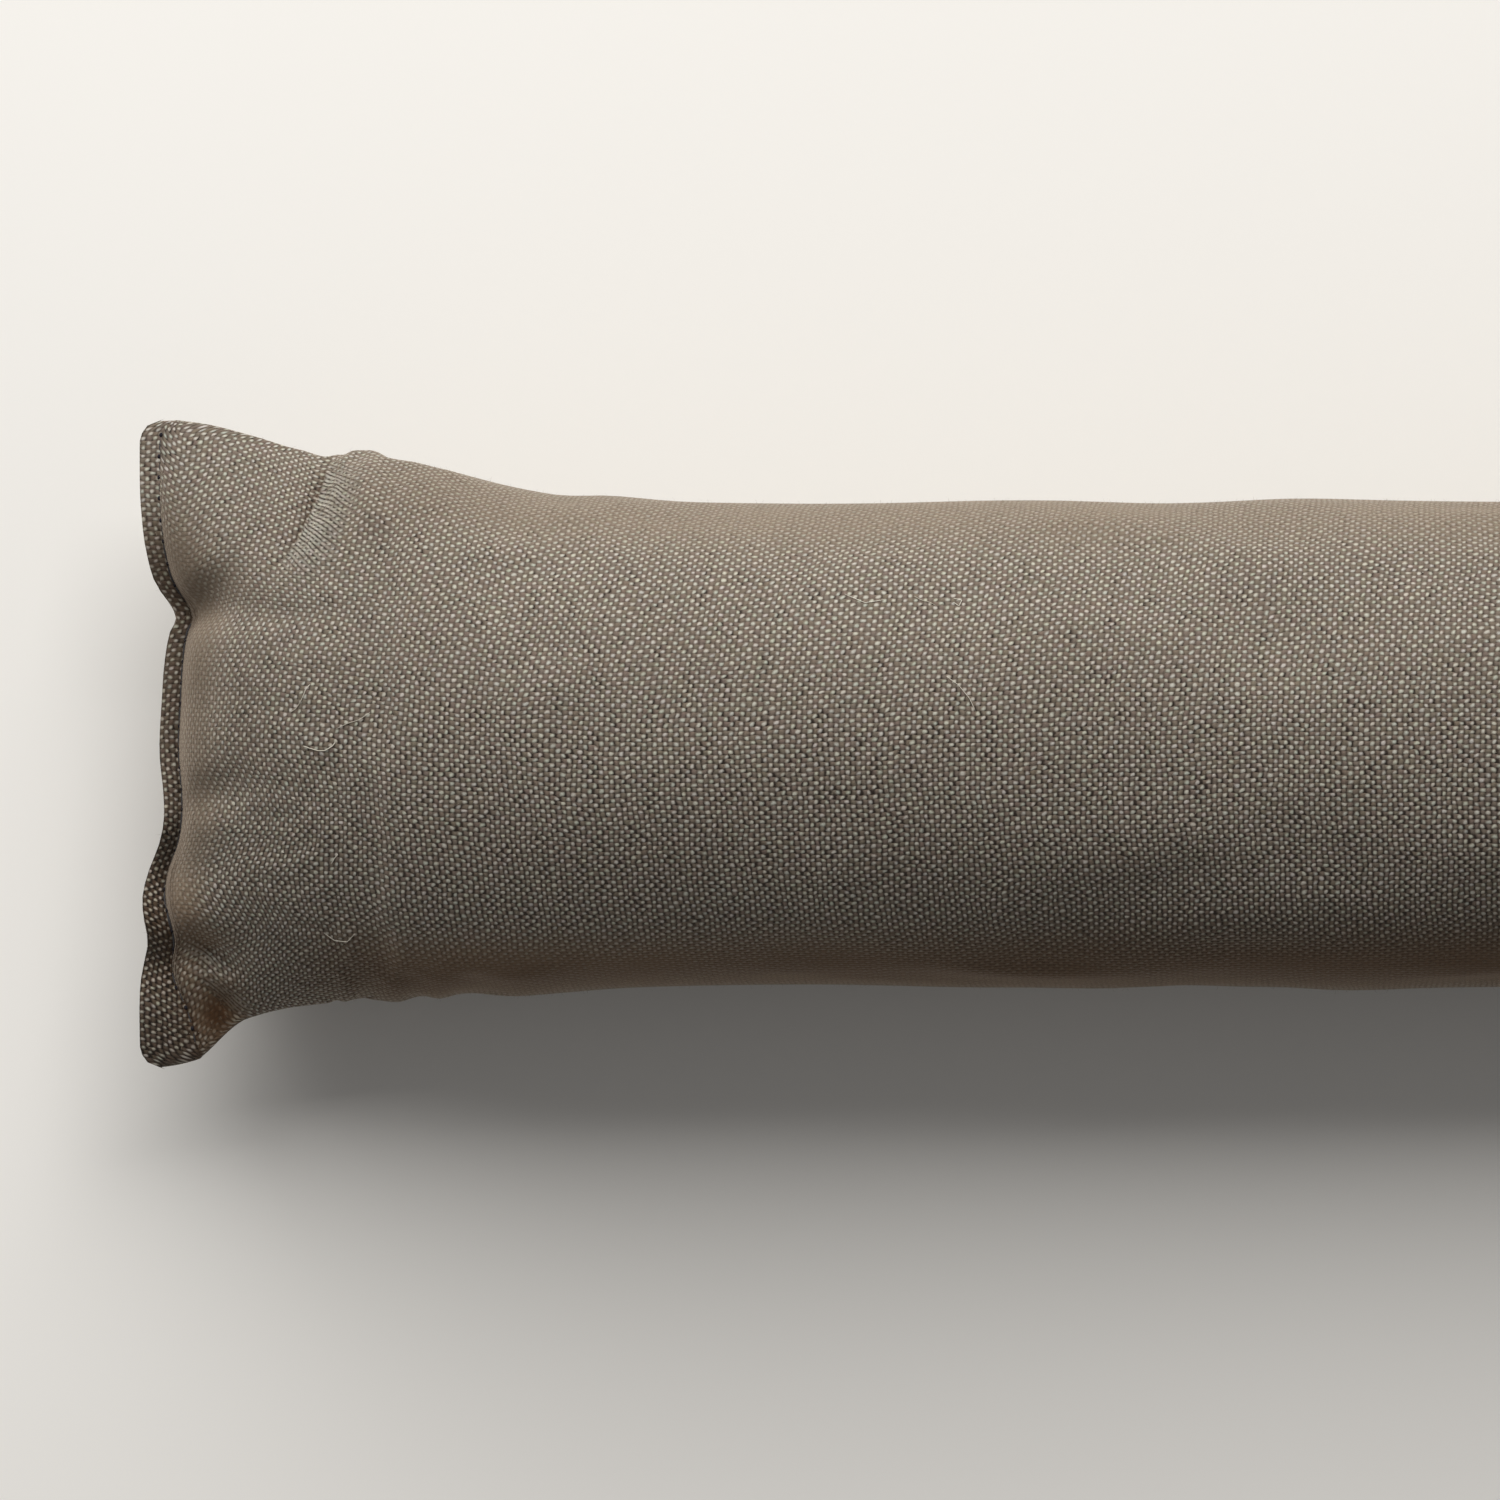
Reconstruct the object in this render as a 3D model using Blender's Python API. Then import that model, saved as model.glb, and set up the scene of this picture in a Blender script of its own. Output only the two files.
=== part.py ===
# A draught excluder: one tube of coarse cloth, stuffed, with both ends sewn flat into a stitched lip.
# X runs along the tube, Y across it and Z up, in metres.
# The origin is under the middle of the tube, on the surface that it lies on.

import math

import bmesh
import bpy
import numpy as np

# Driving dimensions
LENGTH = 0.9
BODY_HALF_WIDTH = 0.05
BODY_HEIGHT = 0.088
CONTACT_SINK = 0.0042
CONTACT_SOFTNESS = 0.0016
SECTION_FULLNESS = 0.94

# The stitched lip: the cloth is turned in on both sides and sewn through close to the edge
LIP_WIDTH = 0.004
LIP_THICKNESS = 0.0024
STITCH_THICKNESS = 0.0014
EDGE_THICKNESS = 0.0014
LIP_HEIGHT = 0.037
LIP_SQUARENESS = 24
LIP_ROOT_RUN = 0.01
CORNER_RADIUS = 0.0052
CORNER_DEPTH = 0.009

# How far from the stitching the flat end takes to become the round tube
ROUND_RUN = 0.095
TOP_RISE_RUN = 0.1
BASE_RISE_RUN = 0.05
MIDDLE_RISE_RUN = 0.12
SEAM_FADE_RUN = 0.06
WAVE_FADE_RUN = 0.02
LIP_FADE_RUN = 0.03
ROUND_START = 0.35
GATHER_SPREAD = 0.16

# Where the body grows out of the lip: the smaller thickness counts only in part
BLEND_SHARE = 0.4
LEAST_BODY_SHARE = 0.3
CREASE_FADE_RUN = 0.006
CREASE_SHARPNESS = 1.15
CREASE_SIDEWAYS_SHARE = 0.45

# Mesh density: columns across one face, closer near its sides, and the rows' distances from a lip's edge
COLUMNS = 48
SIDE_CLOSENESS = 0.5
LIP_ROWS = (0.0, 0.0006, 0.0033, 0.004)
END_ROWS = (
    0.0047, 0.0057, 0.0071, 0.0089, 0.0111, 0.0138, 0.017, 0.0207, 0.0248,
    0.0288, 0.0322, 0.0352, 0.0380, 0.0410, 0.0446, 0.0495, 0.056, 0.065, 0.076, 0.09, 0.107,
)
BODY_ROWS = 12

# The tube's sides seen from above, as the distance from the lip's edge and the reach from the middle
SIDE_COLUMNS = ("run", "reach")
LEFT_BACK_SIDE = (
    (0.0, 0.0675), (0.0066, 0.0675), (0.0128, 0.0668), (0.0231, 0.0643), (0.0320, 0.0617),
    (0.0355, 0.0607), (0.0380, 0.0598), (0.0410, 0.0603), (0.0446, 0.0606), (0.054, 0.0591),
    (0.0645, 0.0573), (0.0748, 0.0546), (0.0851, 0.0524), (0.0954, 0.051), (0.12, BODY_HALF_WIDTH),
)
LEFT_FRONT_SIDE = (
    (0.0, 0.0675), (0.0025, 0.0668), (0.0047, 0.0652), (0.0125, 0.0602), (0.0180, 0.0578),
    (0.0257, 0.0557), (0.0335, 0.0542), (0.043, 0.0531), (0.054, 0.0529), (0.0748, 0.0519),
    (0.0954, 0.0506), (0.12, BODY_HALF_WIDTH),
)
RIGHT_BACK_SIDE = (
    (0.0, 0.066), (0.007, 0.0662), (0.014, 0.0638), (0.021, 0.0592), (0.0285, 0.0571),
    (0.038, 0.0562), (0.054, 0.0542), (0.075, 0.0521), (0.095, 0.0508), (0.12, BODY_HALF_WIDTH),
)
RIGHT_FRONT_SIDE = (
    (0.0, 0.0665), (0.007, 0.0668), (0.0145, 0.0655), (0.024, 0.0628), (0.032, 0.0598),
    (0.036, 0.0594), (0.042, 0.0597), (0.054, 0.0578), (0.075, 0.0537), (0.095, 0.0511),
    (0.12, BODY_HALF_WIDTH),
)

# The lip: place across the tube, how far the filling draws its edge in, its height, its curl and its width
SEAM_COLUMNS = ("across", "inset", "lift", "curl", "lip")
LEFT_SEAM = (
    (0.067, 0.0, 0.0, 0.0, 0.0044),
    (0.0607, 0.0, 0.0006, 0.0, 0.0042),
    (0.0483, 0.0004, 0.0016, 0.0006, 0.004),
    (0.039, 0.0016, 0.001, 0.0004, 0.004),
    (0.0329, 0.0034, -0.0006, -0.0002, 0.004),
    (0.0284, 0.0066, -0.0018, 0.0, 0.0038),
    (0.0264, 0.0078, -0.0016, 0.0004, 0.0036),
    (0.0235, 0.0063, -0.0008, 0.0, 0.0038),
    (0.0185, 0.0053, 0.0, -0.0006, 0.004),
    (0.009, 0.0045, 0.0002, -0.001, 0.0042),
    (-0.0023, 0.0041, 0.0006, -0.0006, 0.0042),
    (-0.0105, 0.0051, 0.0026, 0.0008, 0.004),
    (-0.0155, 0.0053, 0.0034, 0.0018, 0.0038),
    (-0.0209, 0.0041, 0.0018, 0.001, 0.004),
    (-0.026, 0.0019, -0.0006, 0.0, 0.004),
    (-0.0322, 0.0006, 0.0012, 0.0004, 0.0048),
    (-0.037, 0.0012, 0.003, 0.001, 0.0054),
    (-0.0410, 0.0018, 0.0014, 0.0006, 0.0056),
    (-0.0452, 0.0008, -0.0012, -0.0004, 0.0058),
    (-0.049, 0.0002, -0.0002, 0.0, 0.007),
    (-0.055, 0.0, 0.0008, 0.0004, 0.01),
    (-0.0603, 0.0, 0.0004, 0.0, 0.0115),
    (-0.0675, 0.0, -0.0006, -0.0004, 0.012),
)
RIGHT_SEAM = (
    (0.066, 0.0, -0.0012, -0.0008, 0.006),
    (0.054, 0.0002, 0.0008, 0.0, 0.005),
    (0.046, 0.0016, 0.0026, 0.0012, 0.004),
    (0.038, 0.0012, 0.0004, 0.0, 0.004),
    (0.029, 0.003, -0.001, -0.0006, 0.0042),
    (0.0215, 0.0058, 0.0004, 0.0008, 0.0038),
    (0.014, 0.0046, 0.0014, 0.0006, 0.004),
    (0.002, 0.0038, 0.0, -0.0008, 0.0042),
    (-0.009, 0.0048, -0.001, 0.0, 0.004),
    (-0.0165, 0.0066, 0.0008, 0.001, 0.0038),
    (-0.0235, 0.0044, 0.002, 0.0012, 0.004),
    (-0.035, 0.0018, 0.0, 0.0, 0.0042),
    (-0.0475, 0.0006, 0.0012, 0.0004, 0.004),
    (-0.0665, 0.0, -0.0004, 0.0, 0.0044),
)

# Gathers at the stitching, where the cloth is held back and a small valley runs into the body
GATHER_COLUMNS = ("across", "lean", "hold", "width", "run")
LEFT_TOP_GATHERS = (
    (0.0270, 0.50, 0.66, 0.0028, 0.022),
    (0.0095, 0.05, 0.16, 0.0060, 0.016),
    (-0.0118, 0.18, 0.46, 0.0034, 0.022),
    (-0.0412, -0.28, 0.64, 0.0030, 0.024),
    (-0.0560, -0.10, 0.70, 0.0044, 0.018),
)
LEFT_BASE_GATHERS = (
    (0.0285, 0.12, 0.60, 0.0044, 0.028),
    (-0.0060, 0.0, 0.34, 0.0050, 0.020),
    (-0.0340, -0.08, 0.56, 0.0044, 0.026),
)
RIGHT_TOP_GATHERS = (
    (0.0450, 0.12, 0.70, 0.0038, 0.026),
    (0.0210, 0.04, 0.52, 0.0036, 0.022),
    (-0.0160, -0.30, 0.80, 0.0030, 0.026),
    (-0.0400, -0.12, 0.34, 0.0050, 0.022),
)
RIGHT_BASE_GATHERS = (
    (0.0330, 0.06, 0.56, 0.0046, 0.028),
    (-0.0020, 0.0, 0.36, 0.0050, 0.020),
    (-0.0310, -0.08, 0.60, 0.0044, 0.026),
)

# Creases that part an ear or a lobe from the body, with their width on the body's side and on the ear's side
CREASE_COLUMNS = (
    "start_run", "start_across", "end_run", "end_across",
    "start_depth", "end_depth", "body_width", "ear_width",
)
LEFT_TOP_CREASES = (
    (0.0400, 0.0600, 0.0372, 0.0515, 0.0010, 0.0042, 0.0016, 0.0085),
    (0.0372, 0.0515, 0.0335, 0.0428, 0.0042, 0.0028, 0.0018, 0.0095),
    (0.0335, 0.0428, 0.0293, 0.0368, 0.0028, 0.0012, 0.0022, 0.0090),
    (0.0293, 0.0368, 0.0240, 0.0320, 0.0012, 0.0004, 0.0030, 0.0080),
    (0.0225, -0.0580, 0.0175, -0.0545, 0.0008, 0.0030, 0.0026, 0.0050),
    (0.0175, -0.0545, 0.0115, -0.0480, 0.0030, 0.0012, 0.0030, 0.0050),
    (0.0080, -0.0375, 0.0145, -0.0425, 0.0006, 0.0022, 0.0042, 0.0022),
    (0.0145, -0.0425, 0.0230, -0.0485, 0.0022, 0.0004, 0.0046, 0.0026),
)
RIGHT_TOP_CREASES = (
    (0.0350, -0.0615, 0.0315, -0.0540, 0.0010, 0.0034, 0.0024, 0.0075),
    (0.0315, -0.0540, 0.0220, -0.0400, 0.0034, 0.0014, 0.0028, 0.0085),
    (0.0220, -0.0400, 0.0110, -0.0270, 0.0014, 0.0012, 0.0034, 0.0080),
    (0.0250, 0.0590, 0.0200, 0.0540, 0.0010, 0.0030, 0.0026, 0.0065),
    (0.0200, 0.0540, 0.0110, 0.0450, 0.0030, 0.0012, 0.0030, 0.0065),
)
NO_CREASES = ()

# Slow unevenness of the stuffing along the tube, as waves of one length, size and start
WAVE_COLUMNS = ("length", "size", "start")
SIDE_WAVES = ((0.31, 0.0005, 0.4), (0.19, 0.00035, 2.1))
TOP_WAVES = ((0.37, 0.0011, 1.2), (0.165, 0.0006, 0.3))
WAVE_START_RUN = 0.1

LEFT_END = {
    "sides": (LEFT_BACK_SIDE, LEFT_FRONT_SIDE),
    "seam": LEFT_SEAM,
    "top_gathers": LEFT_TOP_GATHERS,
    "base_gathers": LEFT_BASE_GATHERS,
    "top_creases": LEFT_TOP_CREASES,
}
RIGHT_END = {
    "sides": (RIGHT_BACK_SIDE, RIGHT_FRONT_SIDE),
    "seam": RIGHT_SEAM,
    "top_gathers": RIGHT_TOP_GATHERS,
    "base_gathers": RIGHT_BASE_GATHERS,
    "top_creases": RIGHT_TOP_CREASES,
}

CLOTH_COLOUR = (0.17, 0.145, 0.115, 1.0)
CLOTH_ROUGHNESS = 0.92


def ease(share):
    """0 to 1 with a soft start and end."""
    share = np.clip(share, 0.0, 1.0)
    return share * share * (3.0 - 2.0 * share)


def named(rows, columns):
    """Each row of a table as a dictionary."""
    return [dict(zip(columns, row)) for row in rows]


def column(rows, columns, name):
    return np.array([row[name] for row in named(rows, columns)])


def smooth_curve(places, values, at):
    """A smooth line through the table's rows, level before the first and past the last."""
    order = np.argsort(places)
    x, y = places[order], values[order]
    steps = np.diff(x)
    slopes = np.diff(y) / steps
    tangents = np.zeros(len(x))
    tangents[1:-1] = (slopes[:-1] * steps[1:] + slopes[1:] * steps[:-1]) / (steps[:-1] + steps[1:])
    at = np.clip(at, x[0], x[-1])
    i = np.clip(np.searchsorted(x, at, side="right") - 1, 0, len(steps) - 1)
    t = (at - x[i]) / steps[i]
    start_pull = tangents[i] * steps[i]
    end_pull = tangents[i + 1] * steps[i]
    return (
        y[i] * (1 + 2 * t) * (1 - t) ** 2
        + start_pull * t * (1 - t) ** 2
        + y[i + 1] * t * t * (3 - 2 * t)
        + end_pull * t * t * (t - 1)
    )


def table_curve(rows, columns, place, name, at):
    return smooth_curve(column(rows, columns, place), column(rows, columns, name), at)


def side_reach(end, run, share):
    """How far the tube reaches from its middle at this run, on the side that share lies on."""
    back, front = end["sides"]
    back_reach = table_curve(back, SIDE_COLUMNS, "run", "reach", run)
    front_reach = table_curve(front, SIDE_COLUMNS, "run", "reach", run)
    return np.where(share >= 0, back_reach, front_reach)


def corner_shift(end, run, across):
    """Rounds the lip's two corners, seen from above."""
    back, front = (rows[0][1] for rows in end["sides"])
    tip = np.where(across >= 0, back, front)
    past = np.clip((np.abs(across) - (tip - CORNER_RADIUS)) / CORNER_RADIUS, 0.0, 1.0)
    pull = CORNER_RADIUS * (1.0 - np.sqrt(1.0 - past**2))
    return pull * np.clip(1.0 - run / CORNER_DEPTH, 0.0, 1.0)


def held_back(rows, d, across):
    """The share of the rise that is left at each point, less than 1 in a gather."""
    left = np.ones_like(d)
    for row in named(rows, GATHER_COLUMNS):
        valley = row["across"] + row["lean"] * d
        distance = (across - valley) / (row["width"] + GATHER_SPREAD * d)
        left *= 1.0 - row["hold"] * np.exp(-(distance**2)) * (1.0 - ease(d / row["run"]))
    return left


def crease_drop(rows, run, across):
    """How far the creases press the cloth down at each point."""
    drop = np.zeros_like(run)
    for row in named(rows, CREASE_COLUMNS):
        from_start = (run - row["start_run"], across - row["start_across"])
        reach = (row["end_run"] - row["start_run"], row["end_across"] - row["start_across"])
        length = math.hypot(*reach)
        way = (reach[0] / length, reach[1] / length)
        along = from_start[0] * way[0] + from_start[1] * way[1]
        beside = from_start[1] * way[0] - from_start[0] * way[1]
        share = np.clip(along / length, 0.0, 1.0)
        beyond = along - share * length
        ear_side = beside * math.copysign(1.0, row["start_across"]) < 0
        width = np.where(ear_side, row["ear_width"], row["body_width"])
        deep = row["start_depth"] + (row["end_depth"] - row["start_depth"]) * share
        drop = np.maximum(drop, deep * np.exp(-((np.hypot(beyond, beside) / width) ** CREASE_SHARPNESS)))
    return drop


def outward(points, face):
    """The direction square to a face's cloth at each point of its grid."""
    along = np.gradient(points, axis=0)
    across = np.gradient(points, axis=1)
    square = face * np.cross(across, along)
    size = np.linalg.norm(square, axis=-1, keepdims=True)
    return np.divide(square, size, out=np.zeros_like(square), where=size > 0)


def rise(share):
    """A quarter ellipse from 0 at the stitching to 1 at the full height."""
    return np.sqrt(1.0 - (1.0 - np.clip(share, 0.0, 1.0)) ** 2)


def waves(rows, x, run):
    total = np.zeros_like(x)
    for row in named(rows, WAVE_COLUMNS):
        total += row["size"] * np.sin(2 * math.pi * x / row["length"] + row["start"])
    return total * ease((run - WAVE_START_RUN / 2) / WAVE_START_RUN)


def row_distances():
    """Each row's distance from the left lip's edge."""
    near = list(LIP_ROWS + END_ROWS)
    far = [LENGTH - run for run in reversed(near)]
    body = np.linspace(near[-1], far[0], BODY_ROWS + 2)[1:-1]
    return np.array(near + list(body) + far)


def surface(face, left_run, share):
    """Points of the top face (face 1) or the base face (face -1) on a grid of runs and shares across."""
    right_run = LENGTH - left_run
    on_left = left_run <= right_run
    run = np.where(on_left, left_run, right_run)
    d = np.clip(run - LIP_WIDTH, 0.0, None)

    # Plan view: the sides, then the seam's own line
    roundness = ease(ROUND_START + d / ROUND_RUN) - ease(ROUND_START) * (1.0 - ease(d / ROUND_RUN))
    roundness = np.clip(roundness, 0.0, 1.0)
    across_share = (1.0 - roundness) * share + roundness * np.sin(share * math.pi / 2)
    x = left_run - LENGTH / 2
    across = np.zeros_like(run)
    middle = np.full_like(run, BODY_HEIGHT / 2)
    hold = np.ones_like(run)
    drop = np.zeros_like(run)
    for end, here, way in ((LEFT_END, on_left, 1.0), (RIGHT_END, ~on_left, -1.0)):
        y = side_reach(end, run, share) * across_share
        inset = table_curve(end["seam"], SEAM_COLUMNS, "across", "inset", y)
        lift = table_curve(end["seam"], SEAM_COLUMNS, "across", "lift", y)
        curl = table_curve(end["seam"], SEAM_COLUMNS, "across", "curl", y)
        gathers = end["top_gathers"] if face > 0 else end["base_gathers"]
        creases = end["top_creases"] if face > 0 else NO_CREASES
        wider = table_curve(end["seam"], SEAM_COLUMNS, "across", "lip", y) - LIP_WIDTH
        shift = inset * (1.0 - ease(run / SEAM_FADE_RUN)) + corner_shift(end, run, y)
        shift = shift + wider * np.minimum(run / LIP_WIDTH, 1.0) * (1.0 - ease(d / LIP_FADE_RUN))
        seam_height = lift * (1.0 - ease(d / WAVE_FADE_RUN)) + curl * (1.0 - ease(run / LIP_WIDTH))
        x = np.where(here, x + way * shift, x)
        across = np.where(here, y, across)
        middle = np.where(here, middle + seam_height, middle)
        hold = np.where(here, held_back(gathers, d, y), hold)
        drop = np.where(here, crease_drop(creases, run + shift, y), drop)
    middle -= (BODY_HEIGHT / 2 - LIP_HEIGHT) * (1.0 - ease(d / MIDDLE_RISE_RUN))

    # Section: a full oval in the body, thin at the lip, with a pinch at the stitching
    half = BODY_HEIGHT / 2 + (CONTACT_SINK if face < 0 else 0.0)
    rise_run = TOP_RISE_RUN if face > 0 else BASE_RISE_RUN
    section = np.cos(share * math.pi / 2) ** SECTION_FULLNESS
    lip = np.interp(
        run,
        (0.0, LIP_ROWS[1], LIP_ROWS[2], LIP_WIDTH, LIP_WIDTH + LIP_ROOT_RUN),
        (EDGE_THICKNESS, LIP_THICKNESS, LIP_THICKNESS, STITCH_THICKNESS, 0.0),
    ) / 2
    lip = lip * np.sqrt(1.0 - np.abs(share) ** LIP_SQUARENESS)
    body = half * rise(d * hold / rise_run) * section
    thick = np.maximum(lip, body) + BLEND_SHARE * np.minimum(lip, body)
    if face > 0:
        thick = thick + waves(TOP_WAVES, x, run) * section
    across = across + waves(SIDE_WAVES, x, run) * across_share
    points = np.stack([x, across, middle + face * thick], axis=-1)

    # Creases press the cloth in, but never through to the other face
    drop = drop * ease(d / CREASE_FADE_RUN)
    pressed = outward(points, face) * drop[..., None]
    pressed[..., 1] *= CREASE_SIDEWAYS_SHARE
    room = (1.0 - LEAST_BODY_SHARE) * body
    pressed[..., 2] = np.clip(pressed[..., 2], -room, room)
    return points - pressed


def settle(points):
    """Presses what would lie under the surface flat onto it, with a soft edge."""
    z = points[..., 2]
    soft = (z + CONTACT_SOFTNESS) ** 2 / (4 * CONTACT_SOFTNESS)
    z = np.where(z > CONTACT_SOFTNESS, z, np.where(z < -CONTACT_SOFTNESS, 0.0, soft))
    points[..., 2] = z


def cover_points():
    """Loops of points round the tube, one for each row: the top face from back to front, then the base."""
    even = np.linspace(1.0, -1.0, COLUMNS + 1)
    shares = (1.0 - SIDE_CLOSENESS) * even + SIDE_CLOSENESS * np.sin(even * math.pi / 2)
    left_run, share = np.meshgrid(row_distances(), shares, indexing="ij")
    top = surface(1, left_run, share)
    base = surface(-1, left_run, share)[:, -2:0:-1]
    loops = np.concatenate([top, base], axis=1)
    settle(loops)
    low = loops.reshape(-1, 3).min(axis=0)
    high = loops.reshape(-1, 3).max(axis=0)
    loops[..., 0] -= (low[0] + high[0]) / 2
    loops[..., 1] -= (low[1] + high[1]) / 2
    return loops


def skin_loops(mesh, loops):
    """Joins the loops into a closed skin, with a narrow strip along each lip's edge."""
    rings = [[mesh.verts.new(point) for point in loop] for loop in loops]
    count = len(rings[0])
    for ring, following in zip(rings, rings[1:]):
        for i in range(count):
            j = (i + 1) % count
            mesh.faces.new((ring[i], ring[j], following[j], following[i]))
    for ring, way in ((rings[0], -1), (rings[-1], 1)):
        for i in range(COLUMNS):
            corners = [ring[i], ring[i + 1], ring[count - i - 1], ring[(count - i) % count]]
            corners = list(dict.fromkeys(corners))
            mesh.faces.new(corners if way > 0 else corners[::-1])
    bmesh.ops.recalc_face_normals(mesh, faces=mesh.faces)


def cloth_material():
    material = bpy.data.materials.new("woven cloth")
    material.use_nodes = True
    shader = material.node_tree.nodes["Principled BSDF"]
    shader.inputs["Base Color"].default_value = CLOTH_COLOUR
    shader.inputs["Roughness"].default_value = CLOTH_ROUGHNESS
    shader.inputs["Metallic"].default_value = 0.0
    return material


def build_cover():
    """The stuffed tube with its two stitched lips, one closed solid."""
    mesh = bmesh.new()
    skin_loops(mesh, cover_points())
    data = bpy.data.meshes.new("stuffed_cover")
    mesh.to_mesh(data)
    mesh.free()
    data.shade_smooth()
    data.materials.append(cloth_material())
    cover = bpy.data.objects.new("stuffed_cover", data)
    bpy.context.scene.collection.objects.link(cover)
    return cover


def main():
    for obj in list(bpy.data.objects):
        bpy.data.objects.remove(obj)
    build_cover()


main()
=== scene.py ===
import math

import bpy
import numpy as np
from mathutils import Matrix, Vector
from mathutils.bvhtree import BVHTree


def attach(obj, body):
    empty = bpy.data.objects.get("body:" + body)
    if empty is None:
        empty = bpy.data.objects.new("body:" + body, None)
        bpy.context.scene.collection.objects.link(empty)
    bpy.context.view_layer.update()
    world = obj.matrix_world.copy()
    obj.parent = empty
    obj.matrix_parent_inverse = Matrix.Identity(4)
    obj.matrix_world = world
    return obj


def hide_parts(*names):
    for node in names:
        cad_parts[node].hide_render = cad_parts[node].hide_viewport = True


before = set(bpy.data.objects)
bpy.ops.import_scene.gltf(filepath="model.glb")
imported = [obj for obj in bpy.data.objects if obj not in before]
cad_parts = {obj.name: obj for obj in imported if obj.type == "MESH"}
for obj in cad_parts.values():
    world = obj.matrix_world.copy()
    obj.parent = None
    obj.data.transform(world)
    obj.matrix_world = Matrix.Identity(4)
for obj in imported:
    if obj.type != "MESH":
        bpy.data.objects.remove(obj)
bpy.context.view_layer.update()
print("frame loaded")


# shader maths as plain sums: a Wire holds one output socket, and sums on it add Math nodes
class Wire:
    def __init__(self, tree, socket=None):
        self.tree = tree
        self.socket = socket

    def node(self, kind, settings=None, inputs=None, output=0):
        made = self.tree.nodes.new(kind)
        for name, setting in (settings or {}).items():
            setattr(made, name, setting)
        for name, value in (inputs or {}).items():
            if isinstance(value, Wire):
                self.tree.links.new(value.socket, made.inputs[name])
            else:
                made.inputs[name].default_value = value
        return Wire(self.tree, made.outputs[output])

    def other(self, output):
        return Wire(self.tree, self.socket.node.outputs[output])

    def math(self, operation, *values):
        return self.node("ShaderNodeMath", {"operation": operation}, dict(enumerate(values)))

    def __add__(self, other):
        return self.math("ADD", self, other)

    def __radd__(self, other):
        return self.math("ADD", other, self)

    def __sub__(self, other):
        return self.math("SUBTRACT", self, other)

    def __rsub__(self, other):
        return self.math("SUBTRACT", other, self)

    def __mul__(self, other):
        return self.math("MULTIPLY", self, other)

    def __rmul__(self, other):
        return self.math("MULTIPLY", other, self)

    def __truediv__(self, other):
        return self.math("DIVIDE", self, other)

    def __pow__(self, other):
        return self.math("POWER", self, other)

    def __neg__(self):
        return self.math("MULTIPLY", self, -1.0)

    def floor(self):
        return self.math("FLOOR", self)

    def cosine(self):
        return self.math("COSINE", self)

    def size(self):
        return self.math("ABSOLUTE", self)

    def root(self):
        return self.math("SQRT", self)

    def atLeast(self, other):
        return self.math("MAXIMUM", self, other)

    def atMost(self, other):
        return self.math("MINIMUM", self, other)

    def held(self):
        return self.atLeast(0.0).atMost(1.0)


def newShader(name):
    material = bpy.data.materials.new(name)
    material.use_nodes = True
    return material, Wire(material.node_tree)


def finishShader(material, values):
    shader = material.node_tree.nodes["Principled BSDF"]
    for name, value in values.items():
        if isinstance(value, Wire):
            material.node_tree.links.new(value.socket, shader.inputs[name])
        else:
            shader.inputs[name].default_value = value
    return material


def mixColours(start, share, first, second, way="MIX"):
    settings = {"data_type": "RGBA", "blend_type": way}
    return start.node("ShaderNodeMix", settings, {0: share, 6: first, 7: second}, 2)


# the stuffed cover, all in metres
# run: distance from a lip's edge; across: distance from the middle, back positive; share: across from 1 to -1
coverShape = {
    "length": 0.9,
    "bodyHalfWidth": 0.05,
    "bodyHeight": 0.088,
    "contactSink": 0.0042,
    "contactSoftness": 0.0016,
    "fullness": 0.94,
    "lipWidth": 0.004,
    "stitchThickness": 0.0014,
    "edgeThickness": 0.0014,
    "lipHeight": 0.037,
    "lipSquareness": 24,
    "lipRootRun": 0.01,
    "cornerRadius": 0.0052,
    "cornerDepth": 0.009,
    "roundRun": 0.095,
    "roundStart": 0.35,
    "topRiseRun": 0.1,
    "baseRiseRun": 0.05,
    "middleRiseRun": 0.12,
    "seamFadeRun": 0.06,
    "waveFadeRun": 0.02,
    "lipFadeRun": 0.03,
    "gatherSpread": 0.16,
    "blendShare": 0.4,
    "leastBodyShare": 0.3,
    "creaseFadeRun": 0.006,
    "creaseSharpness": 1.15,
    "creaseSidewaysShare": 0.45,
    "waveStartRun": 0.1,
    # slow unevenness of the stuffing: length, size, start
    "sideWaves": [(0.31, 0.0005, 0.4), (0.19, 0.00035, 2.1), (0.071, 0.00022, 0.9)],
    "topWaves": [(0.37, 0.0011, 1.2), (0.165, 0.0006, 0.3), (0.083, 0.0003, 2.2)],
}

# the sides seen from above: run, reach
leftBackSide = [
    (0.0, 0.0675), (0.0066, 0.0675), (0.0128, 0.0668), (0.0231, 0.0643), (0.0320, 0.0617),
    (0.0355, 0.0607), (0.0380, 0.0598), (0.0410, 0.0603), (0.0446, 0.0606), (0.054, 0.0591),
    (0.0645, 0.0573), (0.0748, 0.0546), (0.0851, 0.0524), (0.0954, 0.051), (0.12, 0.05),
]
leftFrontSide = [
    (0.0, 0.0675), (0.0025, 0.0668), (0.0047, 0.0652), (0.0125, 0.0602), (0.0180, 0.0578),
    (0.0257, 0.0557), (0.0335, 0.0542), (0.043, 0.0531), (0.054, 0.0529), (0.0748, 0.0519),
    (0.0954, 0.0506), (0.12, 0.05),
]
rightBackSide = [
    (0.0, 0.066), (0.007, 0.0662), (0.014, 0.0638), (0.021, 0.0592), (0.0285, 0.0571),
    (0.038, 0.0562), (0.054, 0.0542), (0.075, 0.0521), (0.095, 0.0508), (0.12, 0.05),
]
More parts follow.
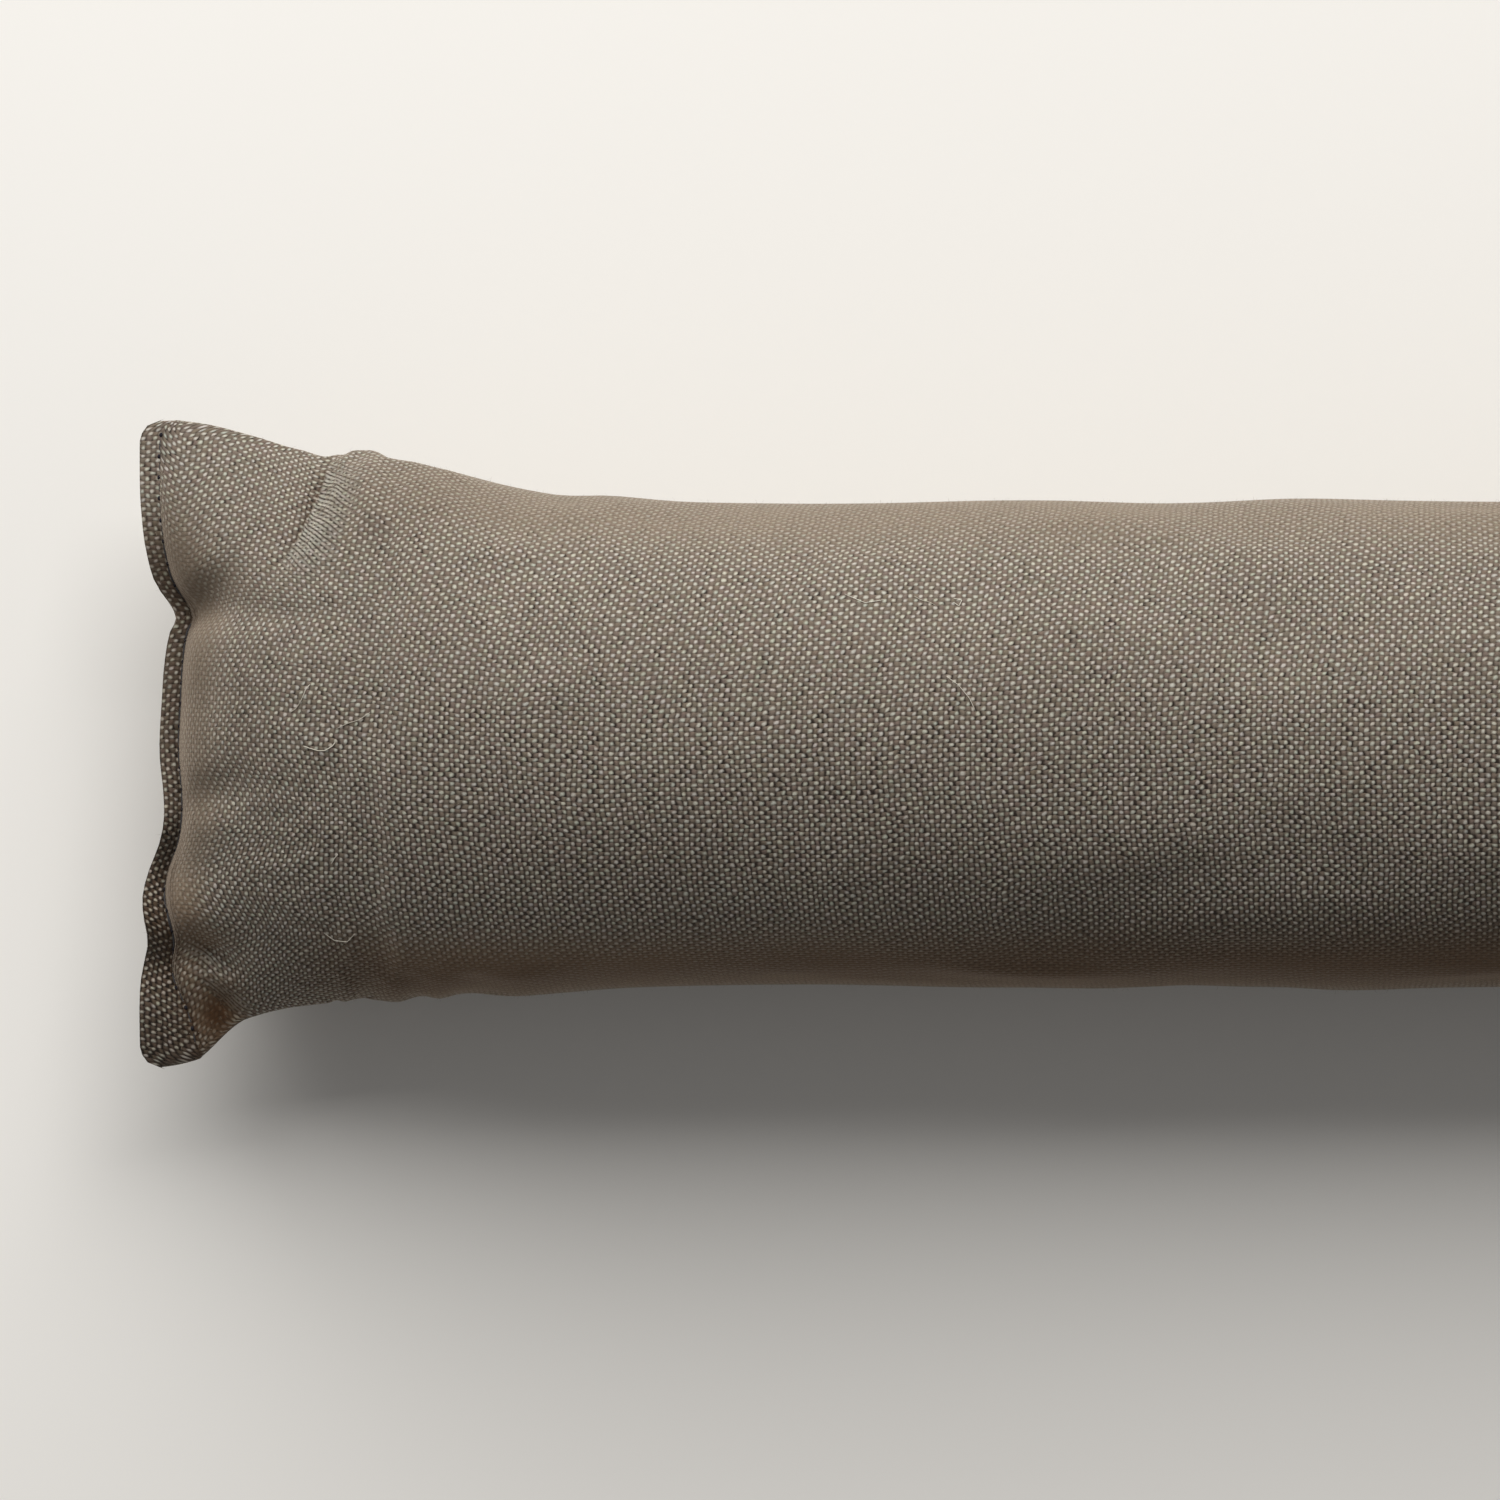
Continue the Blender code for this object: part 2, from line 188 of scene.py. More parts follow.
rightFrontSide = [
    (0.0, 0.0665), (0.007, 0.0668), (0.0145, 0.0655), (0.024, 0.0628), (0.032, 0.0598),
    (0.036, 0.0594), (0.042, 0.0597), (0.054, 0.0578), (0.075, 0.0537), (0.095, 0.0511),
    (0.12, 0.05),
]

# the lip: across, how far the filling draws its edge in, lift, curl, width
leftSeam = [
    (0.067, 0.0, 0.0, 0.0, 0.0044),
    (0.0607, 0.0, 0.0006, 0.0, 0.0042),
    (0.0483, 0.0004, 0.0016, 0.0006, 0.004),
    (0.039, 0.0016, 0.001, 0.0004, 0.004),
    (0.0329, 0.0034, -0.0006, -0.0002, 0.004),
    (0.0284, 0.0066, -0.0018, 0.0, 0.0038),
    (0.0264, 0.0078, -0.0016, 0.0004, 0.0036),
    (0.0235, 0.0063, -0.0008, 0.0, 0.0038),
    (0.0185, 0.0053, 0.0, -0.0006, 0.004),
    (0.009, 0.0045, 0.0002, -0.001, 0.0042),
    (-0.0023, 0.0041, 0.0006, -0.0006, 0.0042),
    (-0.0105, 0.0051, 0.0026, 0.0008, 0.004),
    (-0.0155, 0.0053, 0.0034, 0.0018, 0.0038),
    (-0.0209, 0.0041, 0.0018, 0.001, 0.004),
    (-0.026, 0.0019, -0.0006, 0.0, 0.004),
    (-0.0322, 0.0006, 0.0012, 0.0004, 0.0048),
    (-0.037, 0.0012, 0.003, 0.001, 0.0054),
    (-0.0410, 0.0018, 0.0014, 0.0006, 0.0056),
    (-0.0452, 0.0008, -0.0012, -0.0004, 0.0058),
    (-0.049, 0.0002, -0.0002, 0.0, 0.007),
    (-0.055, 0.0, 0.0008, 0.0004, 0.01),
    (-0.0603, 0.0, 0.0004, 0.0, 0.0115),
    (-0.0675, 0.0, -0.0006, -0.0004, 0.012),
]
rightSeam = [
    (0.066, 0.0, -0.0012, -0.0008, 0.006),
    (0.054, 0.0002, 0.0008, 0.0, 0.005),
    (0.046, 0.0016, 0.0026, 0.0012, 0.004),
    (0.038, 0.0012, 0.0004, 0.0, 0.004),
    (0.029, 0.003, -0.001, -0.0006, 0.0042),
    (0.0215, 0.0058, 0.0004, 0.0008, 0.0038),
    (0.014, 0.0046, 0.0014, 0.0006, 0.004),
    (0.002, 0.0038, 0.0, -0.0008, 0.0042),
    (-0.009, 0.0048, -0.001, 0.0, 0.004),
    (-0.0165, 0.0066, 0.0008, 0.001, 0.0038),
    (-0.0235, 0.0044, 0.002, 0.0012, 0.004),
    (-0.035, 0.0018, 0.0, 0.0, 0.0042),
    (-0.0475, 0.0006, 0.0012, 0.0004, 0.004),
    (-0.0665, 0.0, -0.0004, 0.0, 0.0044),
]

# gathers at the stitching: across, lean, hold, width, run
leftTopGathers = [
    (0.0270, 0.50, 0.66, 0.0028, 0.022),
    (0.0095, 0.05, 0.16, 0.0060, 0.016),
    (-0.0118, 0.18, 0.46, 0.0034, 0.022),
    (-0.0412, -0.28, 0.64, 0.0030, 0.024),
    (-0.0560, -0.10, 0.70, 0.0044, 0.018),
]
leftBaseGathers = [
    (0.0285, 0.12, 0.60, 0.0044, 0.028),
    (-0.0060, 0.0, 0.34, 0.0050, 0.020),
    (-0.0340, -0.08, 0.56, 0.0044, 0.026),
]
rightTopGathers = [
    (0.0450, 0.12, 0.70, 0.0038, 0.026),
    (0.0210, 0.04, 0.52, 0.0036, 0.022),
    (-0.0160, -0.30, 0.80, 0.0030, 0.026),
    (-0.0400, -0.12, 0.34, 0.0050, 0.022),
]
rightBaseGathers = [
    (0.0330, 0.06, 0.56, 0.0046, 0.028),
    (-0.0020, 0.0, 0.36, 0.0050, 0.020),
    (-0.0310, -0.08, 0.60, 0.0044, 0.026),
]

# creases: start run and across, end run and across, depth at each, width on the body's and on the ear's side
leftTopCreases = [
    (0.0400, 0.0600, 0.0372, 0.0515, 0.0010, 0.0042, 0.0016, 0.0085),
    (0.0372, 0.0515, 0.0335, 0.0428, 0.0042, 0.0028, 0.0018, 0.0095),
    (0.0335, 0.0428, 0.0293, 0.0368, 0.0028, 0.0012, 0.0022, 0.0090),
    (0.0293, 0.0368, 0.0240, 0.0320, 0.0012, 0.0004, 0.0030, 0.0080),
    (0.0225, -0.0580, 0.0175, -0.0545, 0.0008, 0.0030, 0.0026, 0.0050),
    (0.0175, -0.0545, 0.0115, -0.0480, 0.0030, 0.0012, 0.0030, 0.0050),
    (0.0080, -0.0375, 0.0145, -0.0425, 0.0006, 0.0022, 0.0042, 0.0022),
    (0.0145, -0.0425, 0.0230, -0.0485, 0.0022, 0.0004, 0.0046, 0.0026),
]
rightTopCreases = [
    (0.0350, -0.0615, 0.0315, -0.0540, 0.0010, 0.0034, 0.0024, 0.0075),
    (0.0315, -0.0540, 0.0220, -0.0400, 0.0034, 0.0014, 0.0028, 0.0085),
    (0.0220, -0.0400, 0.0110, -0.0270, 0.0014, 0.0012, 0.0034, 0.0080),
    (0.0250, 0.0590, 0.0200, 0.0540, 0.0010, 0.0030, 0.0026, 0.0065),
    (0.0200, 0.0540, 0.0110, 0.0450, 0.0030, 0.0012, 0.0030, 0.0065),
]

leftEnd = {
    "sides": (leftBackSide, leftFrontSide), "seam": leftSeam,
    "gathers": {1: leftTopGathers, -1: leftBaseGathers}, "creases": {1: leftTopCreases, -1: []},
}
rightEnd = {
    "sides": (rightBackSide, rightFrontSide), "seam": rightSeam,
    "gathers": {1: rightTopGathers, -1: rightBaseGathers}, "creases": {1: rightTopCreases, -1: []},
}


def ease(share):
    share = np.clip(share, 0.0, 1.0)
    return share * share * (3.0 - 2.0 * share)


def curveThrough(rows, column, at):
    # smooth line through a table's rows, read at places in its first column
    table = np.array(sorted(rows))
    x, y = table[:, 0], table[:, column]
    steps = np.diff(x)
    slopes = np.diff(y) / steps
    pulls = np.zeros(len(x))
    pulls[1:-1] = (slopes[:-1] * steps[1:] + slopes[1:] * steps[:-1]) / (steps[:-1] + steps[1:])
    at = np.clip(at, x[0], x[-1])
    i = np.clip(np.searchsorted(x, at, side="right") - 1, 0, len(steps) - 1)
    t = (at - x[i]) / steps[i]
    onward = pulls[i] * steps[i] * t * (1 - t) ** 2 + pulls[i + 1] * steps[i] * t * t * (t - 1)
    return y[i] * (1 + 2 * t) * (1 - t) ** 2 + y[i + 1] * t * t * (3 - 2 * t) + onward


def cornerShift(end, run, across):
    tip = np.where(across >= 0, end["sides"][0][0][1], end["sides"][1][0][1])
    radius = coverShape["cornerRadius"]
    past = np.clip((np.abs(across) - (tip - radius)) / radius, 0.0, 1.0)
    return radius * (1.0 - np.sqrt(1.0 - past**2)) * np.clip(1.0 - run / coverShape["cornerDepth"], 0.0, 1.0)


def gatherHold(gathers, d, across):
    left = np.ones_like(d)
    for start, lean, hold, width, reach in gathers:
        distance = (across - start - lean * d) / (width + coverShape["gatherSpread"] * d)
        left *= 1.0 - hold * np.exp(-(distance**2)) * (1.0 - ease(d / reach))
    return left


def creaseDrop(creases, run, across):
    drop = np.zeros_like(run)
    for startRun, startAcross, endRun, endAcross, startDepth, endDepth, steep, soft in creases:
        length = math.hypot(endRun - startRun, endAcross - startAcross)
        way = ((endRun - startRun) / length, (endAcross - startAcross) / length)
        along = (run - startRun) * way[0] + (across - startAcross) * way[1]
        beside = (across - startAcross) * way[0] - (run - startRun) * way[1]
        share = np.clip(along / length, 0.0, 1.0)
        earSide = beside * math.copysign(1.0, startAcross) < 0
        distance = np.hypot(along - share * length, beside) / np.where(earSide, soft, steep)
        deep = startDepth + (endDepth - startDepth) * share
        drop = np.maximum(drop, deep * np.exp(-(distance ** coverShape["creaseSharpness"])))
    return drop


def slowWaves(waves, x, run):
    total = sum(size * np.sin(2 * math.pi * x / length + start) for length, size, start in waves)
    start = coverShape["waveStartRun"]
    return total * ease((run - start / 2) / start)


def squareTo(points, face):
    along = np.gradient(points, axis=0)
    across = np.gradient(points, axis=1)
    square = face * np.cross(across, along)
    size = np.linalg.norm(square, axis=-1, keepdims=True)
    return np.divide(square, size, out=np.zeros_like(square), where=size > 0)


def coverSurface(face, leftRun, share):
    # the top (1) or the base (-1) on a grid of runs and shares
    s = coverShape
    rightRun = s["length"] - leftRun
    run = np.minimum(leftRun, rightRun)
    d = np.clip(run - s["lipWidth"], 0.0, None)
    roundness = ease(s["roundStart"] + d / s["roundRun"])
    roundness = np.clip(roundness - ease(s["roundStart"]) * (1.0 - ease(d / s["roundRun"])), 0.0, 1.0)
    acrossShare = (1.0 - roundness) * share + roundness * np.sin(share * math.pi / 2)
    x = leftRun - s["length"] / 2
    across = np.zeros_like(run)
    middle = np.full_like(run, s["bodyHeight"] / 2)
    hold = np.ones_like(run)
    drop = np.zeros_like(run)
    for end, here, way in ((leftEnd, leftRun <= rightRun, 1.0), (rightEnd, leftRun > rightRun, -1.0)):
        back, front = (curveThrough(side, 1, run) for side in end["sides"])
        y = np.where(share >= 0, back, front) * acrossShare
        inset, lift, curl, lipWidth = (curveThrough(end["seam"], column, y) for column in (1, 2, 3, 4))
        shift = inset * (1.0 - ease(run / s["seamFadeRun"])) + cornerShift(end, run, y)
        wider = (lipWidth - s["lipWidth"]) * np.minimum(run / s["lipWidth"], 1.0)
        shift = shift + wider * (1.0 - ease(d / s["lipFadeRun"]))
        lifted = lift * (1.0 - ease(d / s["waveFadeRun"])) + curl * (1.0 - ease(run / s["lipWidth"]))
        x = np.where(here, x + way * shift, x)
        across = np.where(here, y, across)
        middle = np.where(here, middle + lifted, middle)
        hold = np.where(here, gatherHold(end["gathers"][face], d, y), hold)
        drop = np.where(here, creaseDrop(end["creases"][face], run + shift, y), drop)
    middle -= (s["bodyHeight"] / 2 - s["lipHeight"]) * (1.0 - ease(d / s["middleRiseRun"]))

    half = s["bodyHeight"] / 2 + (s["contactSink"] if face < 0 else 0.0)
    riseRun = s["topRiseRun"] if face > 0 else s["baseRiseRun"]
    section = np.cos(share * math.pi / 2) ** s["fullness"]
    lipPlaces = (0.0, 0.0005, 0.0011, 0.0021, 0.0031, 0.0037, s["lipWidth"], s["lipWidth"] + s["lipRootRun"])
    lipThicks = (s["edgeThickness"], 0.0020, 0.0025, 0.0028, 0.0025, 0.0019, s["stitchThickness"], 0.0)
    rolled = 1.0 - 0.75 * ease((np.abs(share) - 0.62) / 0.2)
    flat = np.interp(run, lipPlaces, (0.0012, 0.0016, 0.0018, 0.0018, 0.0018, 0.0018, 0.0018, 0.0))
    lip = flat + (np.interp(run, lipPlaces, lipThicks) - flat) * rolled
    lip = lip / 2 * np.sqrt(1.0 - np.abs(share) ** s["lipSquareness"])
    body = half * np.sqrt(1.0 - (1.0 - np.clip(d * hold / riseRun, 0.0, 1.0)) ** 2) * section
    thick = np.maximum(lip, body) + s["blendShare"] * np.minimum(lip, body)
    if face > 0:
        thick = thick + slowWaves(s["topWaves"], x, run) * section
    across = across + slowWaves(s["sideWaves"], x, run) * acrossShare
    points = np.stack([x, across, middle + face * thick], axis=-1)

    # creases press the cloth in, but never through to the other face
    pressed = squareTo(points, face) * (drop * ease(d / s["creaseFadeRun"]))[..., None]
    pressed[..., 1] *= s["creaseSidewaysShare"]
    room = (1.0 - s["leastBodyShare"]) * body
    pressed[..., 2] = np.clip(pressed[..., 2], -room, room)
    points = points - pressed

    # flat where it rests, with a soft edge
    z, soft = points[..., 2], s["contactSoftness"]
    points[..., 2] = np.where(z > soft, z, np.where(z < -soft, 0.0, (z + soft) ** 2 / (4 * soft)))
    return points


# the mesh: finer than the solid, a grid that follows the cloth
coverMesh = {
    "columns": 56,
    "sideCloseness": 0.4,
    "lipRuns": [0.0, 0.0004, 0.0011, 0.0021, 0.0031, 0.0037, 0.004],
    "endStep": 0.0012,
    "endRun": 0.045,
    "bodyStep": 0.009,
    "stepGrowth": 1.12,
}


def rowRuns():
    m = coverMesh
    runs = list(m["lipRuns"])
    step = runs[-1] - runs[-2]
    middle = coverShape["length"] / 2
    while runs[-1] < middle - m["bodyStep"] * 0.7:
        limit = m["endStep"] if runs[-1] < m["endRun"] else m["bodyStep"]
        step = min(step * m["stepGrowth"], limit)
        runs.append(runs[-1] + step)
    runs[-1] = middle
    return np.array(runs + [coverShape["length"] - run for run in reversed(runs[:-1])])


def columnShares():
    even = np.linspace(1.0, -1.0, coverMesh["columns"] + 1)
    close = coverMesh["sideCloseness"]
    return (1.0 - close) * even + close * np.sin(even * math.pi / 2)


def coverRings():
    leftRun, share = np.meshgrid(rowRuns(), columnShares(), indexing="ij")
    top = coverSurface(1, leftRun, share)
    base = coverSurface(-1, leftRun, share)[:, -2:0:-1]
    rings = np.concatenate([top, base], axis=1)
    shares = np.concatenate([share, share[:, -2:0:-1]], axis=1)
    low, high = rings.reshape(-1, 3).min(axis=0), rings.reshape(-1, 3).max(axis=0)
    shift = np.array([(low[0] + high[0]) / 2, (low[1] + high[1]) / 2, 0.0])
    return rings - shift, shares, shift


# how the flat cloth lies on the tube: the crosswise threads bow back towards the lips at both sides,
# steepest near the ends and not at all at mid-length; the lengthwise ones drift a little
clothLay = {
    "bowSteep": (0.205, 0.135),  # back, front
    "bowSoftness": (0.015, 0.024),
    "bowStarts": (0.012, 0.045),
    "drift": (0.0052, 0.1, -0.003, 0.15),
}


def threadPlaces(rings, runs, roundTube):
    # along each column from the lip; past bowStarts the measured bow takes over from the true lengths
    c = clothLay
    columns = coverMesh["columns"]
    steps = np.linalg.norm(np.diff(rings, axis=0), axis=2)
    along = np.concatenate([np.zeros((1, rings.shape[1])), np.cumsum(steps, axis=0)])
    middle = along[:, columns // 2][:, None]
    fade = np.clip(1.0 - runs / (coverShape["length"] / 2), 0.0, 1.0)[:, None]
    bends = zip(c["bowSteep"], c["bowSoftness"])
    back, front = (steep * soft * np.log(np.cosh(roundTube / soft)) for steep, soft in bends)
    bow = np.where(roundTube >= 0, back, front) * fade
    under = np.linspace(0.0, 1.0, columns + 1)[1:-1]
    bow[:, columns + 1:] = bow[:, columns:columns + 1] * (1.0 - under) + bow[:, :1] * under
    start, end = c["bowStarts"]
    share = ease((runs - start) / (end - start))[:, None]
    return middle - (middle - along) * (1.0 - share) - bow * share, float(middle[-1, 0])


def clothPlaces(rings, shares):
    # cloth coordinates of each ring point: along from the left lip, round from the top's middle
    columns = coverMesh["columns"]
    topMiddle, baseMiddle = columns // 2, columns + columns // 2
    runs = rowRuns()
    following = np.roll(rings, -1, axis=1)
    spans = np.linalg.norm((following - rings)[..., 1:], axis=2)  # round the tube, from point i to point i + 1
    v = np.zeros(shares.shape)
    count = shares.shape[1]
    for i in range(topMiddle + 1, baseMiddle + 1):
        v[:, i] = v[:, i - 1] - spans[:, i - 1]
    frontEnd = v[:, baseMiddle].copy()
    i = topMiddle
    while i != baseMiddle:
        before = (i - 1) % count
        v[:, before] = v[:, i] + spans[:, before]
        i = before
    backEnd = v[:, baseMiddle].copy()

    fromLeft, whole = threadPlaces(rings, runs, v)
    fromRight, _ = threadPlaces(rings[::-1], runs, v[::-1])
    onLeft = (runs <= coverShape["length"] / 2)[:, None]
    u = np.where(onLeft, fromLeft, whole - fromRight[::-1])
    first, firstRun, second, secondRun = clothLay["drift"]
    drift = first * ease(runs / firstRun) + second * ease((runs - firstRun) / secondRun)
    return u, v + drift[:, None], frontEnd + drift, backEnd + drift


# where the cloth is napped smooth and where shade is painted into its colour, from 0 to 1; run and across as in the
# tables above
napAndShadeTable = {
    # beside the lip: across, nap, painted shade; on the lip: its painted shade; at its stitches: the groove's painted
    # shade and width
    "lipSide": [
        (0.067, 0.0, 0.0, 0.05, 0.05, 0.001),
        (0.052, 0.15, 0.05, 0.1, 0.1, 0.001),
        (0.046, 0.5, 0.15, 0.35, 0.3, 0.001),
        (0.04, 0.85, 0.3, 0.6, 0.75, 0.001),
        (0.0335, 0.9, 0.25, 0.72, 0.95, 0.001),
        (0.026, 0.8, 0.1, 0.74, 1.0, 0.001),
        (0.015, 0.7, 0.3, 0.68, 1.0, 0.001),
        (-0.005, 0.7, 0.35, 0.66, 1.0, 0.001),
        (-0.02, 0.75, 0.25, 0.76, 1.0, 0.0012),
        (-0.028, 0.8, 0.1, 0.86, 1.0, 0.0017),
        (-0.036, 0.7, 0.3, 0.9, 1.0, 0.002),
        (-0.044, 0.3, 0.2, 0.84, 1.0, 0.002),
        (-0.052, 0.35, 0.45, 0.72, 0.95, 0.0014),
        (-0.067, 0.3, 0.4, 0.66, 0.8, 0.0012),
    ],
    "bandReach": (0.0074, 0.0088),
    # along the tube's sides: share where it starts, reach, most, run where it starts, reach
    # the back's nap: a rubbed band whose lighter colour is also a painted sheen along the top edge
    "backNapAndSheen": (0.48, 0.26, 0.60, 0.030, 0.055),
    "frontNap": (0.48, 0.24, 0.78, 0.028, 0.035),
    # painted shade low on the front, the side that faces away from the light
    "frontPaintedShade": (0.48, 0.30, 0.72, 0.022, 0.030),
    "shadeRise": (0.14, 0.08, 0.18),  # how much higher the painted shade reaches, run where that starts, reach
    "pastSide": (0.84, 0.15, 0.35),  # share where both ease off, reach, what is kept from there down
    "baseNap": 0.25,
    # rubbed places and places of painted shade in folds, valleys and creases: run, across, reach along, reach across,
    # nap, painted shade
    "places": [
        (0.0100, 0.0400, 0.0070, 0.0080, 0.45, 0.0),
        (0.0150, 0.0330, 0.0070, 0.0050, 0.60, 0.0),
        (0.0500, 0.0480, 0.0220, 0.0110, 0.0, 0.24),
        (0.0210, 0.0050, 0.0080, 0.0200, 0.0, 0.22),
        (0.0160, -0.0560, 0.0052, 0.0065, 0.95, 1.0),
        (0.0128, -0.0402, 0.0055, 0.0022, 0.75, 0.25),
        (0.0068, -0.0395, 0.0022, 0.0060, 0.3, 0.75),
        (0.0035, -0.0452, 0.0034, 0.0009, 0.0, 0.85),
    ],
    "creaseReach": 0.01,
    "deepCrease": 0.0042,
}


def creaseMap(end, run, across):
    # distance beside the nearest crease, body side positive, and how deep that crease is there
    f = napAndShadeTable
    nearest = np.full(run.shape, f["creaseReach"])
    signed = np.full(run.shape, f["creaseReach"])
    deep = np.zeros(run.shape)
    for startRun, startAcross, endRun, endAcross, startDepth, endDepth, _, _ in end["creases"][1]:
        length = math.hypot(endRun - startRun, endAcross - startAcross)
        way = ((endRun - startRun) / length, (endAcross - startAcross) / length)
        along = (run - startRun) * way[0] + (across - startAcross) * way[1]
        beside = ((across - startAcross) * way[0] - (run - startRun) * way[1]) * math.copysign(1.0, startAcross)
        share = np.clip(along / length, 0.0, 1.0)
        distance = np.hypot(along - share * length, beside)
        closer = distance < nearest
        nearest = np.where(closer, distance, nearest)
        signed = np.where(closer, np.where(beside < 0, -distance, distance), signed)
        depth = (startDepth + (endDepth - startDepth) * share) / f["deepCrease"]
        deep = np.where(closer, depth, deep)
    return signed / (2 * f["creaseReach"]) + 0.5, deep


def napAndShadeMap(rings, shares, shift):
    # nap, place beside a crease, painted shade and depth of crease at each ring point
    f = napAndShadeTable
    runs = rowRuns()
    rowRun = np.minimum(runs, coverShape["length"] - runs)[:, None]
    share = np.abs(shares)
    nap, paintedShade, deep = np.zeros(shares.shape), np.zeros(shares.shape), np.zeros(shares.shape)
    beside = np.ones(shares.shape)
    onTop = np.arange(shares.shape[1]) <= coverMesh["columns"]
    for end, way in ((leftEnd, 1.0), (rightEnd, -1.0)):
        here = way * rings[..., 0] < 0
        run = way * (rings[..., 0] + shift[0]) + coverShape["length"] / 2
        across = rings[..., 1] + shift[1]
        side = {k: curveThrough(f["lipSide"], k, across) for k in (1, 2, 3, 4, 5)}
        band = (1.0 - ease((rowRun - f["bandReach"][0]) / f["bandReach"][1])) * ease((rowRun - 0.0038) / 0.0006)
        endNap, endShade = side[1] * band, side[2] * band
        for placeRun, placeAcross, reachRun, reachAcross, napped, shadeAmount in f["places"]:
            near = np.exp(-(((run - placeRun) / reachRun) ** 2) - ((across - placeAcross) / reachAcross) ** 2)
            endNap = np.maximum(endNap, napped * near)
            endShade = np.maximum(endShade, shadeAmount * near)
        # painted shade on the lip and in the groove at its stitches
        endShade = np.maximum(endShade, side[3] * (1.0 - ease((rowRun - 0.0034) / 0.0012)))
        endShade = np.maximum(endShade, side[4] * np.exp(-(((rowRun - 0.0042) / side[5]) ** 2)))
        endBeside, endDeep = creaseMap(end, run, across)
        nap = np.where(here, endNap, nap)
        paintedShade = np.where(here, endShade, paintedShade)
        beside = np.where(here & onTop, endBeside, beside)
        deep = np.where(here & onTop, endDeep, deep)
    higher, startRun, runReach = f["shadeRise"]
    raised = share + higher * ease((rowRun - startRun) / runReach)
    eased, easeReach, kept = f["pastSide"]
    past = np.where(onTop, 1.0 - (1.0 - kept) * ease((share - eased) / easeReach), kept)
    # nap on the back and the front; painted shade low on the front, away from the light
    onBack, onFront, frontShade = (
        ease((at - first) / reach) * most * past * ease((rowRun - firstRun) / reachRun)
        for at, (first, reach, most, firstRun, reachRun)
        in ((share, f["backNapAndSheen"]), (share, f["frontNap"]), (raised, f["frontPaintedShade"]))
    )
    nap = np.maximum(nap, np.where(shares >= 0, onBack, onFront))
    nap = np.where(onTop, nap, np.maximum(nap, f["baseNap"]))
    paintedShade = np.where(shares < 0, np.maximum(paintedShade, frontShade), paintedShade)
    return np.stack([nap, beside, paintedShade, deep], axis=-1)


def buildCover(rings, shares, shift):
    rows, count = shares.shape
    columns = coverMesh["columns"]
    baseMiddle = columns + columns // 2
    u, v, frontEnd, backEnd = clothPlaces(rings, shares)
    faces, places = [], []
    for row in range(rows - 1):
        for i in range(count):
            j = (i + 1) % count
            for r, k in ((row, i), (row, j), (row + 1, j), (row + 1, i)):
                across = v[r, k]
                if k == baseMiddle:  # the cloth's own joint runs under the tube
                    across = frontEnd[r] if i == baseMiddle - 1 else backEnd[r]
                places.append((u[r, k], across))
            faces.append([row * count + i, row * count + j, (row + 1) * count + j, (row + 1) * count + i])
    for row, flip in ((0, False), (rows - 1, True)):
        for i in range(columns):
            corners = list(dict.fromkeys([i, i + 1, count - i - 1, (count - i) % count]))
            corners = corners[::-1] if flip else corners
            faces.append([row * count + k for k in corners])
            places += [(u[row, k] + (0.0008 if k > columns else 0.0), v[row, min(k, count - k)]) for k in corners]
    mesh = bpy.data.meshes.new("coverCloth")
    mesh.from_pydata(rings.reshape(-1, 3).tolist(), [], faces)
    layer = mesh.uv_layers.new(name="cloth")
    layer.data.foreach_set("uv", np.array(places, dtype=np.float32).ravel())
    napAndShade = mesh.attributes.new("napAndShade", "FLOAT_COLOR", "POINT")
    napAndShade.data.foreach_set("color", napAndShadeMap(rings, shares, shift).astype(np.float32).ravel())
    mesh.shade_smooth()
    cover = bpy.data.objects.new("coverCloth", mesh)
    bpy.context.scene.collection.objects.link(cover)
    mesh.update()
    return cover


# the stuffing's push, by a short cloth simulation; only the small unevenness that it makes is kept
swelling = {
    "frames": 20,
    "pressure": 4.0,
    "extraCloth": -0.03,
    "stretch": 12.0,
    "bending": 0.4,
    "pinnedRun": 0.0045,
    "freeRun": 0.06,
    "smoothReach": 0.012,
    "mostMove": 0.00075,
}


def averaged(field, rings, reach):
    # soft mean along the rows and round the rings, by distance
    runs = rowRuns()
    alongWeights = np.exp(-(((runs[:, None] - runs[None, :]) / reach) ** 2)) * np.gradient(runs)[None, :]
    alongWeights /= alongWeights.sum(axis=1, keepdims=True)
    ring = rings[len(rings) // 2]
    spans = np.linalg.norm(np.roll(ring, -1, axis=0) - ring, axis=1)
    places = np.concatenate([[0.0], np.cumsum(spans)])
    apart = np.abs(places[:-1, None] - places[None, :-1])
    apart = np.minimum(apart, places[-1] - apart)
    roundWeights = np.exp(-((apart / reach) ** 2)) * (spans + np.roll(spans, 1))[None, :]
    roundWeights /= roundWeights.sum(axis=1, keepdims=True)
    return np.einsum("ij,jkc,lk->ilc", alongWeights, field, roundWeights, optimize=True)


